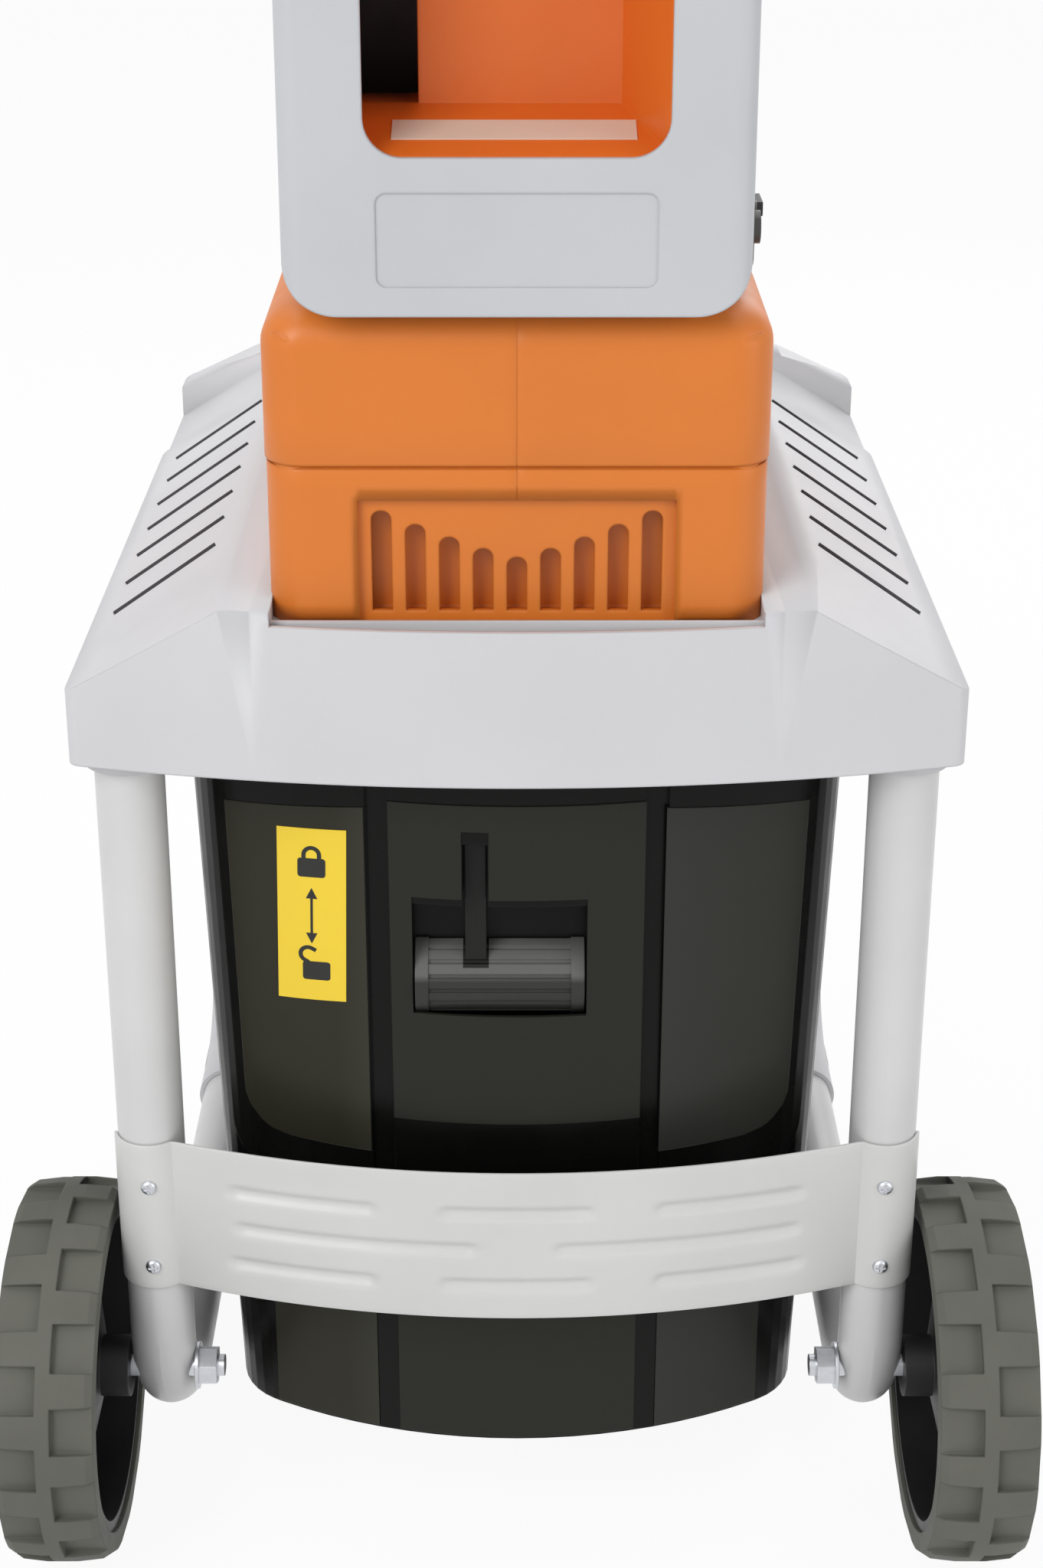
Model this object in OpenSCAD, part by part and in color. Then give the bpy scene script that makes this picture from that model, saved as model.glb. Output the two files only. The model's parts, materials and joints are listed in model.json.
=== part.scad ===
// Garden shredder of the slow roller kind. A tube frame on two wheels and two rear feet carries
// a cover, the drive housing and the feed hopper. A collecting bin runs on rails under the cover.
// Millimetres, X to the right, Y to the rear, Z up. The origin is on the floor under the middle.

/* [Frame] */
// Distance between the left and right leg axes
leg_spacing = 400; // [394:1:410]
// Outer diameter of the frame tube
tube_d = 36; // [32:1:38]
// Wall of the frame tube
tube_wall = 2; // [1:0.5:3]
// Place of the front leg axis
front_leg_y = -185; // [-188:1:-180]
// Distance from the front leg axis to the rear leg axis
leg_depth = 446; // [436:1:450]
// Centre-line radius of the tube bends
bend_r = 60; // [54:1:64]
// Height of the bends' centres
bend_z = 131; // [127:1:135]

/* [Wheels] */
// Diameter over the tread
wheel_d = 210; // [200:1:214]
// Width of the tread
tread_w = 53; // [46:1:58]
// Gap between the leg and the tread
wheel_gap = 7; // [4:0.5:9]
// Diameter of the axle bolt
axle_d = 12; // [10:0.5:14]
// Tread recesses in each of the two rows
tread_count = 15; // [12:1:18]
// Depth of the tread recesses
tread_depth = 5; // [2:0.5:6]
// Thickness of the tyre
tyre_t = 15; // [12:1:18]

/* [Rear feet] */
// Width of a rear foot's sole
foot_w = 42; // [38:1:46]
// Height of a rear foot
foot_h = 152; // [146:1:165]
// Length of a rear foot ahead of the rear leg
foot_l = 106; // [96:1:116]
// Wall of a rear foot's sleeve
foot_wall = 3; // [2:0.5:4]

/* [Cross panel] */
// Height of the panel's lower edge
panel_z = 171; // [160:1:180]
// Height of the panel
panel_h = 92; // [84:1:100]
// Thickness of the panel
panel_t = 2; // [1.5:0.5:4.5]
// Bow of the panel between the legs
panel_bow = 31; // [24:1:34]
// Depth of the embossed beads
bead_depth = 2.4; // [1.2:0.2:3]
// Height of the embossed beads
bead_h = 9; // [6:0.5:11]
// Height of the lower screws above the panel's lower edge
panel_screw_in = 15; // [12:1:20]
// Distance between a lower and an upper screw
panel_screw_pitch = 51; // [40:1:60]

/* [Cover] */
// Width of the cover
cover_w = 455; // [450:1:460]
// Place of the cover's rear edge
cover_rear = 290; // [284:1:296]
// Place of the cover's front corners
cover_front = -207; // [-212:1:-205]
// Bow of the cover's front
cover_bow = 28; // [20:1:34]
// Height of the skirt's lower edge
skirt_z = 490; // [484:1:496]
// Height of the skirt
skirt_h = 40; // [36:1:46]
// Rise of the sloped sides
roof_rise = 51; // [46:1:54]
// Width of the flat top
plateau_w = 290; // [284:1:296]
// Wall of the cover
cover_wall = 3; // [2.5:0.5:4]
// Depth of the deck below the flat top
deck_drop = 11; // [9:1:14]
// Depth of the front lip below the flat top
lip_drop = 8; // [4:1:9]
// Diameter of the leg sockets
socket_d = 46; // [43:0.5:46]
// Length of the sockets below the skirt
socket_drop = 18; // [10:1:24]
// Louvre slots on each side
louvre_count = 7; // [5:1:7]
// Spacing of the louvre slots
louvre_pitch = 44.8; // [36:0.2:46]
// Width of a louvre slot
louvre_w = 5; // [3:0.5:7]
// Height of the rear ridge above the skirt
ridge_rise = 22; // [16:1:26]

/* [Bin] */
// Width of the bin at the top
bin_w = 348; // [340:1:349]
// Width of the bin at the bottom
bin_foot_w = 322; // [310:1:330]
// Length of the bin at the bottom
bin_l = 431; // [410:1:434]
// Place of the bin's front at the bottom
bin_front_y = -199; // [-200:1:-196]
// Height of the bin's floor above the ground
bin_z = 65; // [58:1:80]
// Bow radius of the bin's front
bin_bow_r = 300; // [260:5:380]
// Corner radius of the bin
bin_corner_r = 40; // [30:1:50]
// Wall of the bin
bin_wall = 3.5; // [3:0.5:4]
// Height of the raised pads on the bin's front
pad_raise = 2; // [1:0.5:3]
// Width of the middle pad
pad_mid = 132; // [126:1:140]
// Gap between the pads
pad_gap = 12; // [8:1:16]
// Distance of the pads' lower edge from the bin's floor
pad_drop = 168; // [150:1:180]
// Margin of the pads at the bin's sides
pad_edge = 9; // [6:1:16]
// Width of the rail groove in the bin's sides
groove_in = 14; // [12:1:16]
// Height of the rail groove in the bin's sides
groove_h = 12; // [10:1:14]
// Clearance of the bin on its rails
rail_gap = 0.3; // [0.2:0.05:0.5]

/* [Bin lock] */
// Width of the grip
grip_w = 89; // [80:1:96]
// Height of the grip
grip_h = 45; // [38:1:50]
// Middle of the grip
grip_x = -9; // [-14:1:-4]
// Height of the grip's lower edge
grip_z = 338; // [330:1:346]
// Travel of the lock
lock_travel = 25; // [20:1:27]
// Width of the lock rod
rod_w = 11; // [8:0.5:12]
// Depth of the lock rod
rod_t = 8; // [6:0.5:9]
// Middle of the lock rod
rod_x = -21.5; // [-24:0.5:-19]

/* [Drive housing] */
// Width of the drive housing
body_w = 238; // [236:1:240]
// Place of the housing's front
body_front = -215; // [-216:1:-213]
// Depth of the housing
body_depth = 300; // [294:1:310]
// Wall of the housing
body_wall = 3.5; // [3:0.5:4]
// Corner radius of the housing in plan
body_r = 14; // [10:1:26]
// Height of the lower shell
lower_h = 81; // [79:1:84]
// Height of the upper shell
upper_h = 66; // [64:1:70]
// Radius of the housing's upper edges
shoulder_r = 5; // [4.5:0.5:10]
// Height of the seat that carries the hopper above the housing
seat_h = 12; // [8:1:16]
// Vent slots in the front
vent_count = 9; // [5:2:9]
// Spacing of the vent slots
vent_pitch = 16.5; // [15:0.5:17]
// Width of a vent slot
vent_w = 10; // [7:0.5:11]

/* [Hopper] */
// Width of the hopper
hopper_w = 219; // [215:1:222]
// Place of the hopper's front
hopper_front = -230; // [-232:1:-228]
// Depth of the hopper
hopper_depth = 260; // [254:1:268]
// Height of the hopper
hopper_h = 256; // [250:1:270]
// Wall of the hopper
hopper_wall = 3.5; // [3:0.5:4]
// Distance of the hopper's parting line from its front
hopper_split_in = 160; // [150:1:170]
// Depth of the hopper's flat top
hopper_ridge = 120; // [110:1:130]
// Fall of the hopper's sloped back
hopper_fall = 95; // [80:1:105]
// Radius of the hopper's upright edges
hopper_edge_r = 10; // [8:1:24]
// Radius of the hopper's lower corners
hopper_foot_r = 26; // [20:1:28]
// Width of the mouth
mouth_w = 140; // [132:1:144]
// Height of the mouth
mouth_h = 142; // [130:1:146]
// Height of the mouth's sill above the hopper's foot
mouth_sill = 74; // [72:1:78]
// Corner radius of the mouth
mouth_r = 18; // [10:1:24]
// Depth of the funnel behind the mouth
funnel_depth = 54; // [46:1:58]
// Width of the feed duct
duct_w = 38; // [34:1:39]

/* [Drive] */
// Diameter of the cutting roller
roller_d = 84; // [76:1:86]
// Length of the cutting roller
roller_l = 53; // [46:1:54]
// Cutting teeth around the roller
roller_teeth = 8; // [6:1:10]
// Room between the motor and the housing's rear wall
motor_room = 17.375; // [15.375:1:20.375]
// Height of the drive axes above the deck
drive_rise = 70; // [69:1:72]
// Diameter of the roller shaft
shaft_d = 17; // [15:1:18]
// Gap between the roller and the counter plate at rest
plate_gap = 3.5; // [3.3:0.1:4.5]
// Teeth of the roller gear
roller_gear_z = 54; // [50:2:54]
// Teeth of the layshaft pinion
lay_pinion_z = 10; // [10:1:12]
// Module of the roller gear pair
roller_gear_m = 2; // [1.9:0.05:2]
// Teeth of the layshaft gear
lay_gear_z = 66; // [60:2:66]
// Teeth of the motor pinion
motor_pinion_z = 11; // [11:1:13]
// Module of the motor gear pair
motor_gear_m = 1.25; // [1.2:0.05:1.25]
// Diameter of the motor
motor_d = 104; // [96:1:106]
// Length of the motor
motor_l = 88; // [76:1:88]

/* [Controls] */
// Diameter of the start and stop buttons
button_d = 16; // [12:0.5:18]
// Travel of the buttons
button_travel = 3; // [2:0.5:4]
// Diameter of the direction selector
selector_d = 22; // [18:0.5:24]
// Diameter of the adjusting knob
knob_d = 38; // [30:1:44]

/* [Hidden] */
$fn = 64;
// Radial clearance of turning and sliding fits
fit = 0.05;
// Clearance between pieces that seat loosely
seat = 0.3;
// Overlap of cutting shapes past the faces that they cut
past = 1;

// Frame
leg_x = leg_spacing / 2;
tube_r = tube_d / 2;
rear_leg_y = front_leg_y + leg_depth;
run_z = bend_z - bend_r;

// Cover
cover_half = cover_w / 2;
plateau_half = plateau_w / 2;
skirt_top = skirt_z + skirt_h;
cover_top = skirt_top + roof_rise;
roof_tan = roof_rise / (cover_half - plateau_half);
roof_a = atan(roof_tan);
deck_z = cover_top - deck_drop;
deck_t = 3;
deck_half = body_w / 2 + 2;
jog = 4;
jog_y = cover_rear - 100;
ridge_y = cover_rear - 28;
cover_corner_r = 8;
bow_r = (cover_half * cover_half + cover_bow * cover_bow) / (2 * cover_bow);
function roof_z(x) = cover_top - (x - plateau_half) * roof_tan;
leg_top = roof_z(leg_x + tube_r) - 8;
socket_z = skirt_z - socket_drop;

// Wheels
axle_z = wheel_d / 2;
axle_y = front_leg_y;
wheel_in = leg_x + tube_r + wheel_gap;
wheel_out = wheel_in + tread_w;
tyre_r_in = wheel_d / 2 - tyre_t;
rim_t = 6;
hub_d = 34;
hub_in = wheel_in - wheel_gap + 1;
hub_out = wheel_out - 11;
bolt_head_h = 6;
nut_h = 10;
nut_d = 22;
cap_d = 58;

// Cross panel
wrap_r = tube_r + panel_t;
crease_a = 40;
wrap_a = 72;
crease_x = leg_x - wrap_r * sin(crease_a);
panel_front = front_leg_y - wrap_r * cos(crease_a) - panel_bow;
panel_r = (crease_x * crease_x + panel_bow * panel_bow) / (2 * panel_bow);
panel_screw_d = 5;
panel_head_d = 9;
panel_seat_y = front_leg_y - tube_r - panel_t;

// Bin
bin_half = bin_w / 2;
bin_mid_y = bin_front_y + bin_l / 2;
rail_top = skirt_z + 10;
flange_t = 5.7;
bin_top = rail_top + rail_gap + flange_t;
bin_body_h = rail_top + rail_gap - groove_h - bin_z;
flare_x = bin_w / bin_foot_w;
flare_y = 1.06;
bin_floor = 4;
neck_half = bin_half - groove_in;
rail_t = 3;
rail_in = neck_half + 2;
rail_web = bin_half + 2.5;
function bin_front(z) = bin_mid_y - bin_l / 2 * (1 + (flare_y - 1) * (z - bin_z) / bin_body_h);

// Bin lock
pocket_back = bin_front(grip_z) + 18;
grip_front = bin_front(grip_z) - 1;
pocket_side = 4;
pocket_top = grip_z + grip_h + lock_travel + 3.5;
pocket_wall = 2.5;
rod_back = pocket_back - 5;
rod_top = bin_top - 1;
keeper_z = bin_top + 3;
keeper_wall = 3;
rod_room = 1;
plunger_z = rod_top + lock_travel + 0.5;
plunger_travel = 3;

// Drive housing
body_half = body_w / 2;
body_rear = body_front + body_depth;
seam_z = deck_z + lower_h;
body_top = seam_z + upper_h;
body_floor = 4;
vent_z = deck_z + 6;
vent_mid_h = 28;
vent_side_h = 52;
vent_panel_half = vent_pitch * vent_count / 2 + 4;
vent_panel_h = vent_side_h + 15;

// Hopper
hopper_half = hopper_w / 2;
hopper_rear_y = hopper_front + hopper_depth;
hopper_z = body_top + seat_h;
hopper_top = hopper_z + hopper_h;
hopper_split = hopper_front + hopper_split_in;
sill_z = hopper_z + mouth_sill;
mouth_half = mouth_w / 2;
mouth_top = sill_z + mouth_h;
funnel_back = hopper_front + hopper_wall + funnel_depth;
funnel_wall = 3;
floor_rise = 15;

// Drive, all axes along X
drive_z = deck_z + drive_rise;
chamber_wall = 10;
chamber_in_l = -body_half + body_wall + 2.5 + chamber_wall;
chamber_in_r = chamber_in_l + roller_l + 6;
chamber_right_t = 4;
roller_x0 = chamber_in_l + 3;
roller_r = roller_d / 2;
motor_y = body_rear - body_wall - motor_room - motor_d / 2;
lay_y = motor_y - motor_gear_m * (lay_gear_z + motor_pinion_z) / 2;
roller_y = lay_y - roller_gear_m * (roller_gear_z + lay_pinion_z) / 2;
plate_t = 10;
plate_front = roller_y + roller_r + plate_gap;
plate_travel = 3;
plate_z0 = drive_z - 38;
plate_h = 76;
chamber_front_y = roller_y - roller_r - 3;
chamber_rear_y = plate_front + plate_t + 8.5;
chamber_top = drive_z + 60;
bridge_t = 12;
duct_x1 = chamber_in_r - 2.5;
duct_x0 = duct_x1 - duct_w;
duct_y0 = funnel_back - 20;
duct_y1 = plate_front - 0.5;
duct_step = sill_z + floor_rise;
screw_d = 10;
screw_x = (chamber_in_l + chamber_in_r) / 2;

// Gear train from the roller to the motor
cover_plate_t = 8;
gear_x0 = chamber_in_r + chamber_right_t;
gear_in = gear_x0 + cover_plate_t;
roller_gear_w = 14;
lay_gear_w = 8;
roller_gear_x = gear_in + 2;
lay_gear_x = roller_gear_x + roller_gear_w + 3;
gear_out = lay_gear_x + lay_gear_w + 3;
gear_wall = 6;
gear_rim = 3.5;
motor_x0 = gear_out + gear_wall;
motor_bell = 10;
motor_shaft_d = 12;
rotor_d = 55;
lay_shaft_d = 10;
bearing_d = 40;
pressure = 20;
backlash = 0.3;
function gear_room(m, z) = m * z / 2 + 3;

// Controls on the hopper's right side
control_z = hopper_z + 28;
control_h = 32;
control_y0 = hopper_front + 48;
control_l = 104;
control_t = 4;
control_box = 18;
stop_y = control_y0 + 17;
start_y = stop_y + 22;
selector_y = start_y + 28;
reset_y = selector_y + 23;
reset_d = 10;
button_x = hopper_half + control_t;

// Rear inlet
inlet_x = 60;
inlet_w = 44;
inlet_h = 34;
inlet_l = 26;

grey = [0.78, 0.78, 0.79];
orange = [0.88, 0.5, 0.22];
dark = [0.3, 0.3, 0.29];
black = [0.06, 0.06, 0.06];
steel = [0.7, 0.7, 0.72];
cast = [0.55, 0.56, 0.57];

// Helpers
module slab(x, y, z) {
    translate([x[0], y[0], z[0]])
        cube([x[1] - x[0], y[1] - y[0], z[1] - z[0]]);
}

module along_x(x0, x1) {
    translate([x0, 0, 0])
        rotate([90, 0, 90])
            linear_extrude(x1 - x0) children();
}

module along_y(y0, y1) {
    translate([0, y1, 0])
        rotate([90, 0, 0])
            linear_extrude(y1 - y0) children();
}

module along_z(z0, z1) {
    translate([0, 0, z0])
        linear_extrude(z1 - z0) children();
}

module rod_x(x0, x1, y, z, d) {
    translate([x0, y, z])
        rotate([0, 90, 0])
            cylinder(h = x1 - x0, d = d);
}

module rod_y(y0, y1, x, z, d) {
    translate([x, y0, z])
        rotate([-90, 0, 0])
            cylinder(h = y1 - y0, d = d);
}

module rod_z(z0, z1, x, y, d) {
    translate([x, y, z0])
        cylinder(h = z1 - z0, d = d);
}

// Rectangle with its four corners rounded
module round_rect(x0, x1, y0, y1, r) {
    translate([x0 + r, y0])
        square([x1 - x0 - 2 * r, y1 - y0]);
    translate([x0, y0 + r])
        square([x1 - x0, y1 - y0 - 2 * r]);
    for (x = [x0 + r, x1 - r], y = [y0 + r, y1 - r])
        translate([x, y]) circle(r);
}

// Rectangle with only its upper corners rounded
module arch_rect(x0, x1, y0, y1, r) {
    translate([x0, y0])
        square([x1 - x0, y1 - y0 - r]);
    translate([x0 + r, y0])
        square([x1 - x0 - 2 * r, y1 - y0]);
    for (x = [x0 + r, x1 - r])
        translate([x, y1 - r]) circle(r);
}

module mirrored(side) {
    if (side < 0) mirror([1, 0, 0]) children();
    else children();
}

// Frame
// One side's bent tube, drawn solid in the plane of the leg axes
module tube_path(d, extra) {
    rod_z(bend_z, leg_top + extra, 0, front_leg_y, d);
    rod_z(bend_z, leg_top + extra, 0, rear_leg_y, d);
    rod_y(front_leg_y + bend_r, rear_leg_y - bend_r, 0, run_z, d);
    translate([0, front_leg_y + bend_r, bend_z])
        rotate([90, 0, 90])
            rotate([0, 0, 180])
                rotate_extrude(angle = 90)
                    translate([bend_r, 0]) circle(d = d);
    translate([0, rear_leg_y - bend_r, bend_z])
        rotate([90, 0, 90])
            rotate([0, 0, 270])
                rotate_extrude(angle = 90)
                    translate([bend_r, 0]) circle(d = d);
}

function panel_screw_zs() = [panel_z + panel_screw_in, panel_z + panel_screw_in + panel_screw_pitch];

module frame_tube(side) {
    color(grey)
        difference() {
            translate([side * leg_x, 0, 0])
                difference() {
                    tube_path(tube_d, 0);
                    tube_path(tube_d - 2 * tube_wall, past);
                }
            mirrored(side)
                rod_x(leg_x - tube_d, leg_x + tube_d, axle_y, axle_z, axle_d + 2 * fit);
            for (z = panel_screw_zs())
                rod_y(front_leg_y - tube_d, front_leg_y, side * leg_x, z, panel_screw_d + 2 * fit);
        }
}

// Bowed panel in plan between two depths behind its front face, from x0 to x1
module panel_band(front, back, x0, x1) {
    intersection() {
        translate([0, panel_front + panel_r])
            difference() {
                circle(panel_r - front, $fn = 400);
                circle(panel_r - back, $fn = 400);
            }
        translate([x0, panel_front - past]) square([x1 - x0, panel_bow + tube_d]);
    }
}

// Sheet around the front of a leg, from its outer side to the crease
module leg_wrap() {
    steps = 4;
    intersection() {
        circle(wrap_r);
        polygon(concat([[0, 0]], [for (i = [0:steps]) let (a = crease_a - i * (crease_a + wrap_a) / steps)
            2 * tube_d * [-sin(a), -cos(a)]]));
    }
}

module front_cross_panel() {
    bead_rows = [0.23, 0.477, 0.723];
    short_bead = [[-0.86, -0.4], [-0.24, 0.24], [0.4, 0.86]];
    long_bead = [[-0.86, -0.1], [0.1, 0.86]];
    half = leg_x - tube_r;
    color(grey)
        difference() {
            union() {
                along_z(panel_z, panel_z + panel_h) {
                    panel_band(0, panel_t, -crease_x - 1.5, crease_x + 1.5);
                    for (s = [-1, 1])
                        translate([s * leg_x, front_leg_y])
                            mirror([s > 0 ? 0 : 1, 0]) leg_wrap();
                }
                for (row = [0:2], b = row == 1 ? long_bead : short_bead)
                    translate([0, 0, panel_z + panel_h * bead_rows[row] - bead_h / 2 - panel_t])
                        linear_extrude(bead_h + 2 * panel_t)
                            panel_band(panel_t / 2, panel_t + bead_depth, b[0] * half - panel_t, b[1] * half + panel_t);
            }
            for (row = [0:2], b = row == 1 ? long_bead : short_bead)
                translate([0, 0, panel_z + panel_h * bead_rows[row] - bead_h / 2])
                    linear_extrude(bead_h)
                        panel_band(-past, bead_depth, b[0] * half, b[1] * half);
            for (s = [-1, 1]) {
                rod_z(panel_z - past, panel_z + panel_h + past, s * leg_x, front_leg_y, tube_d + 2 * fit);
                for (z = panel_screw_zs()) {
                    rod_y(front_leg_y - tube_d, front_leg_y, s * leg_x, z, panel_screw_d + 2 * fit);
                    rod_y(panel_seat_y - tube_d, panel_seat_y, s * leg_x, z, panel_head_d + 1);
                }
            }
        }
}

module cross_panel_screws() {
    head_h = 2.5;
    color(steel)
        for (s = [-1, 1], z = panel_screw_zs()) {
            rod_y(panel_seat_y - 0.5, panel_seat_y + 12, s * leg_x, z, panel_screw_d);
            rod_y(panel_seat_y - head_h, panel_seat_y, s * leg_x, z, panel_head_d);
        }
}

// Sleeve around the rear bend on a sole, open where the tube comes out at its front and top
module rear_foot(side) {
    heel = tube_r + foot_wall + 1;
    toe = bend_r + 22;
    round_r = 15;
    sleeve_d = tube_d + 2 * foot_wall;
    color(grey)
        translate([side * leg_x, 0, 0])
            difference() {
                union() {
                    intersection() {
                        tube_path(sleeve_d, 0);
                        slab([-sleeve_d, sleeve_d], [rear_leg_y - foot_l, rear_leg_y + sleeve_d], [0, foot_h]);
                    }
                    along_x(-foot_w / 2, foot_w / 2)
                        round_rect(rear_leg_y - toe, rear_leg_y + heel, 0, run_z + 4, round_r);
                }
                tube_path(tube_d + 2 * fit, 0);
            }
}

// Wheels
module axle_bolts() {
    color(steel)
        for (side = [-1, 1])
            mirrored(side) {
                rod_x(leg_x - tube_r - nut_h - 6, hub_out, axle_y, axle_z, axle_d);
                translate([hub_out, axle_y, axle_z])
                    rotate([0, 90, 0])
                        cylinder(h = bolt_head_h, d = nut_d, $fn = 6);
            }
}

module axle_nuts() {
    washer_t = 2;
    color(steel)
        for (side = [-1, 1])
            mirrored(side)
                difference() {
                    union() {
                        rod_x(leg_x - tube_r - washer_t, leg_x - tube_r, axle_y, axle_z, nut_d + 4);
                        translate([leg_x - tube_r - washer_t - nut_h, axle_y, axle_z])
                            rotate([0, 90, 0])
                                cylinder(h = nut_h, d = nut_d, $fn = 6);
                    }
                    rod_x(leg_x - tube_d, leg_x, axle_y, axle_z, axle_d);
                }
}

// Turns a profile drawn as radius and place along the axle about the axle
module about_axle(side) {
    mirrored(side)
        translate([0, axle_y, axle_z])
            rotate([0, 90, 0])
                rotate_extrude() children();
}

module tyre(side) {
    r = wheel_d / 2;
    edge = 4;
    crown = 1.5;
    rib = 8;
    row_w = (tread_w - rib) / 2 + past;
    step = 360 / tread_count;
    block_half = r * sin(0.29 * step);
    color(dark)
        difference() {
            about_axle(side)
                polygon([[tyre_r_in, wheel_in], [r - edge, wheel_in], [r - crown, wheel_in + edge],
                    [r, wheel_in + tread_w / 3], [r, wheel_out - tread_w / 3],
                    [r - crown, wheel_out - edge], [r - edge, wheel_out], [tyre_r_in, wheel_out]]);
            mirrored(side)
                for (row = [0, 1], i = [0:tread_count - 1])
                    translate([row == 0 ? wheel_in - past : wheel_out + past - row_w, axle_y, axle_z])
                        rotate([step * (i + row / 2), 0, 0])
                            translate([0, -block_half, r - tread_depth])
                                cube([row_w, 2 * block_half, 2 * tread_depth]);
        }
}

module rim(side) {
    web_t = 4;
    spokes = 8;
    web_in = wheel_in + 10;
    web_x = wheel_in + tread_w / 2;
    band_r = tyre_r_in - rim_t;
    r0 = hub_d / 2 - 1;
    r1 = band_r + 1;
    color(black) {
        about_axle(side) {
            translate([axle_d / 2 + fit, hub_in])
                square([(hub_d - axle_d) / 2 - fit, hub_out - hub_in]);
            translate([band_r, wheel_in + 2])
                square([rim_t, tread_w - 4]);
            polygon([[r0, web_in], [r1, web_x], [r1, web_x + web_t], [r0, web_in + web_t]]);
        }
        mirrored(side)
            translate([0, axle_y, axle_z])
                for (i = [0:spokes - 1])
                    rotate([i * 360 / spokes, 0, 0])
                        rotate([0, 90, 0])
                            rotate([90, 0, 0])
                                translate([0, 0, -web_t / 2])
                                    linear_extrude(web_t)
                                        polygon([[r0, web_in + web_t / 2], [r1, web_x + web_t / 2],
                                            [r1, wheel_out - 12], [r0, wheel_out - 12]]);
    }
}

module hub_cap(side) {
    rise = 3;
    skirt_t = 3;
    lip = 1;
    head_room = bolt_head_h + 2;
    color(dark)
        about_axle(side)
            polygon([[0, hub_out + head_room], [nut_d / 2 + 2, hub_out + head_room], [nut_d / 2 + 2, hub_out],
                [hub_d / 2, hub_out], [hub_d / 2, hub_out + head_room - skirt_t],
                [cap_d / 2, hub_out + head_room - skirt_t + lip], [cap_d / 2, wheel_out - lip],
                [cap_d / 2 - skirt_t, wheel_out + lip], [cap_d / 4, wheel_out + rise], [0, wheel_out + rise]]);
}

// Cover
module cover_plan(inset) {
    offset(r = cover_corner_r, $fn = 32)
        offset(delta = -cover_corner_r - inset)
            intersection() {
                translate([0, cover_front - cover_bow + bow_r])
                    circle(bow_r, $fn = 360);
                union() {
                    translate([-cover_half, cover_front - cover_bow])
                        square([cover_w, jog_y - cover_front + cover_bow]);
                    translate([jog - cover_half, cover_front - cover_bow])
                        square([cover_w - 2 * jog, cover_rear - cover_front + cover_bow]);
                }
            }
}

function both_sides(pts) = concat(pts, [for (i = [len(pts) - 1:-1:0]) [-pts[i][0], pts[i][1]]]);

// Front outline of the roof, moved inwards by t
module roof_profile(t, z0) {
    x1 = cover_half - t;
    polygon(both_sides([[x1, z0], [x1, roof_z(x1) - t / cos(roof_a)],
        [plateau_half - t * tan(roof_a / 2), cover_top - t]]));
}

// Front outline of the raised rear ridge, moved inwards by t
module ridge_profile(t, z0) {
    x1 = cover_half - jog - t;
    polygon(both_sides([[x1, z0], [x1, skirt_top + ridge_rise - t], [x1 - 48, cover_top - 7 - t],
        [plateau_half - 10 - t, cover_top + 5 - t]]));
}

module cover_solid(t, z0) {
    intersection() {
        along_z(z0, cover_top + 20) cover_plan(t);
        union() {
            along_y(cover_front - cover_bow, cover_rear) roof_profile(t, z0);
            along_y(ridge_y + t, cover_rear) ridge_profile(t, z0);
        }
    }
}

module louvres() {
    x_in = plateau_half + 15;
    x_out = cover_half - 12;
    first_y = cover_front + 90;
    lean = 15;
    run = x_out - x_in;
    for (side = [-1, 1], i = [0:louvre_count - 1])
        mirrored(side)
            translate([(x_in + x_out) / 2, first_y + lean / 2 + i * louvre_pitch, roof_z((x_in + x_out) / 2)])
                rotate([0, roof_a, 0])
                    rotate([0, 0, -atan(lean / run)])
                        cube([run / cos(roof_a), louvre_w, 2 * cover_wall + 2], center = true);
}

function leg_ys() = [front_leg_y, rear_leg_y];

module leg_sockets() {
    for (side = [-1, 1], y = leg_ys()) {
        rod_z(socket_z, skirt_z + 10, side * leg_x, y, socket_d);
        intersection() {
            rod_z(skirt_z, cover_top, side * leg_x, y, socket_d);
            cover_solid(cover_wall / 2, skirt_z);
        }
    }
}

// Rails that carry the bin's rim, hung from the roof
module bin_rails() {
    y0 = front_leg_y + socket_d / 2 + 5;
    y1 = rear_leg_y - socket_d / 2 + 1;
    for (side = [-1, 1])
        mirrored(side) {
            slab([rail_web, rail_web + rail_t], [y0, y1], [rail_top - 6, roof_z(rail_web + rail_t) - cover_wall]);
            slab([rail_in, rail_web + rail_t], [y0, y1], [rail_top - 6, rail_top]);
        }
}

keeper_x = [rod_x - rod_w / 2 - rod_room - keeper_wall - 6, rod_x + rod_w / 2 + rod_room + keeper_wall + 6];
keeper_y = [rod_back - rod_t - rod_room - keeper_wall - 3, rod_back + rod_room + keeper_wall + 3];

// Box under the deck that the lock rod enters, open to the rear, with room for the safety switch
module lock_keeper() {
    difference() {
        slab(keeper_x, keeper_y, [keeper_z, deck_z - deck_t / 2]);
        slab([keeper_x[0] + keeper_wall, keeper_x[1] - keeper_wall], [keeper_y[0] + keeper_wall, keeper_y[1] + past],
            [keeper_z + keeper_wall, deck_z - deck_t]);
    }
}

discharge_x = [chamber_in_l, chamber_in_r];
discharge_y = [chamber_front_y, chamber_rear_y];

function base_screw_spots() = [for (x = [-1, 1], y = [body_front + 20, body_rear - 20]) [x * (body_half - 16), y]];
base_screw_d = 5;

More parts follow.
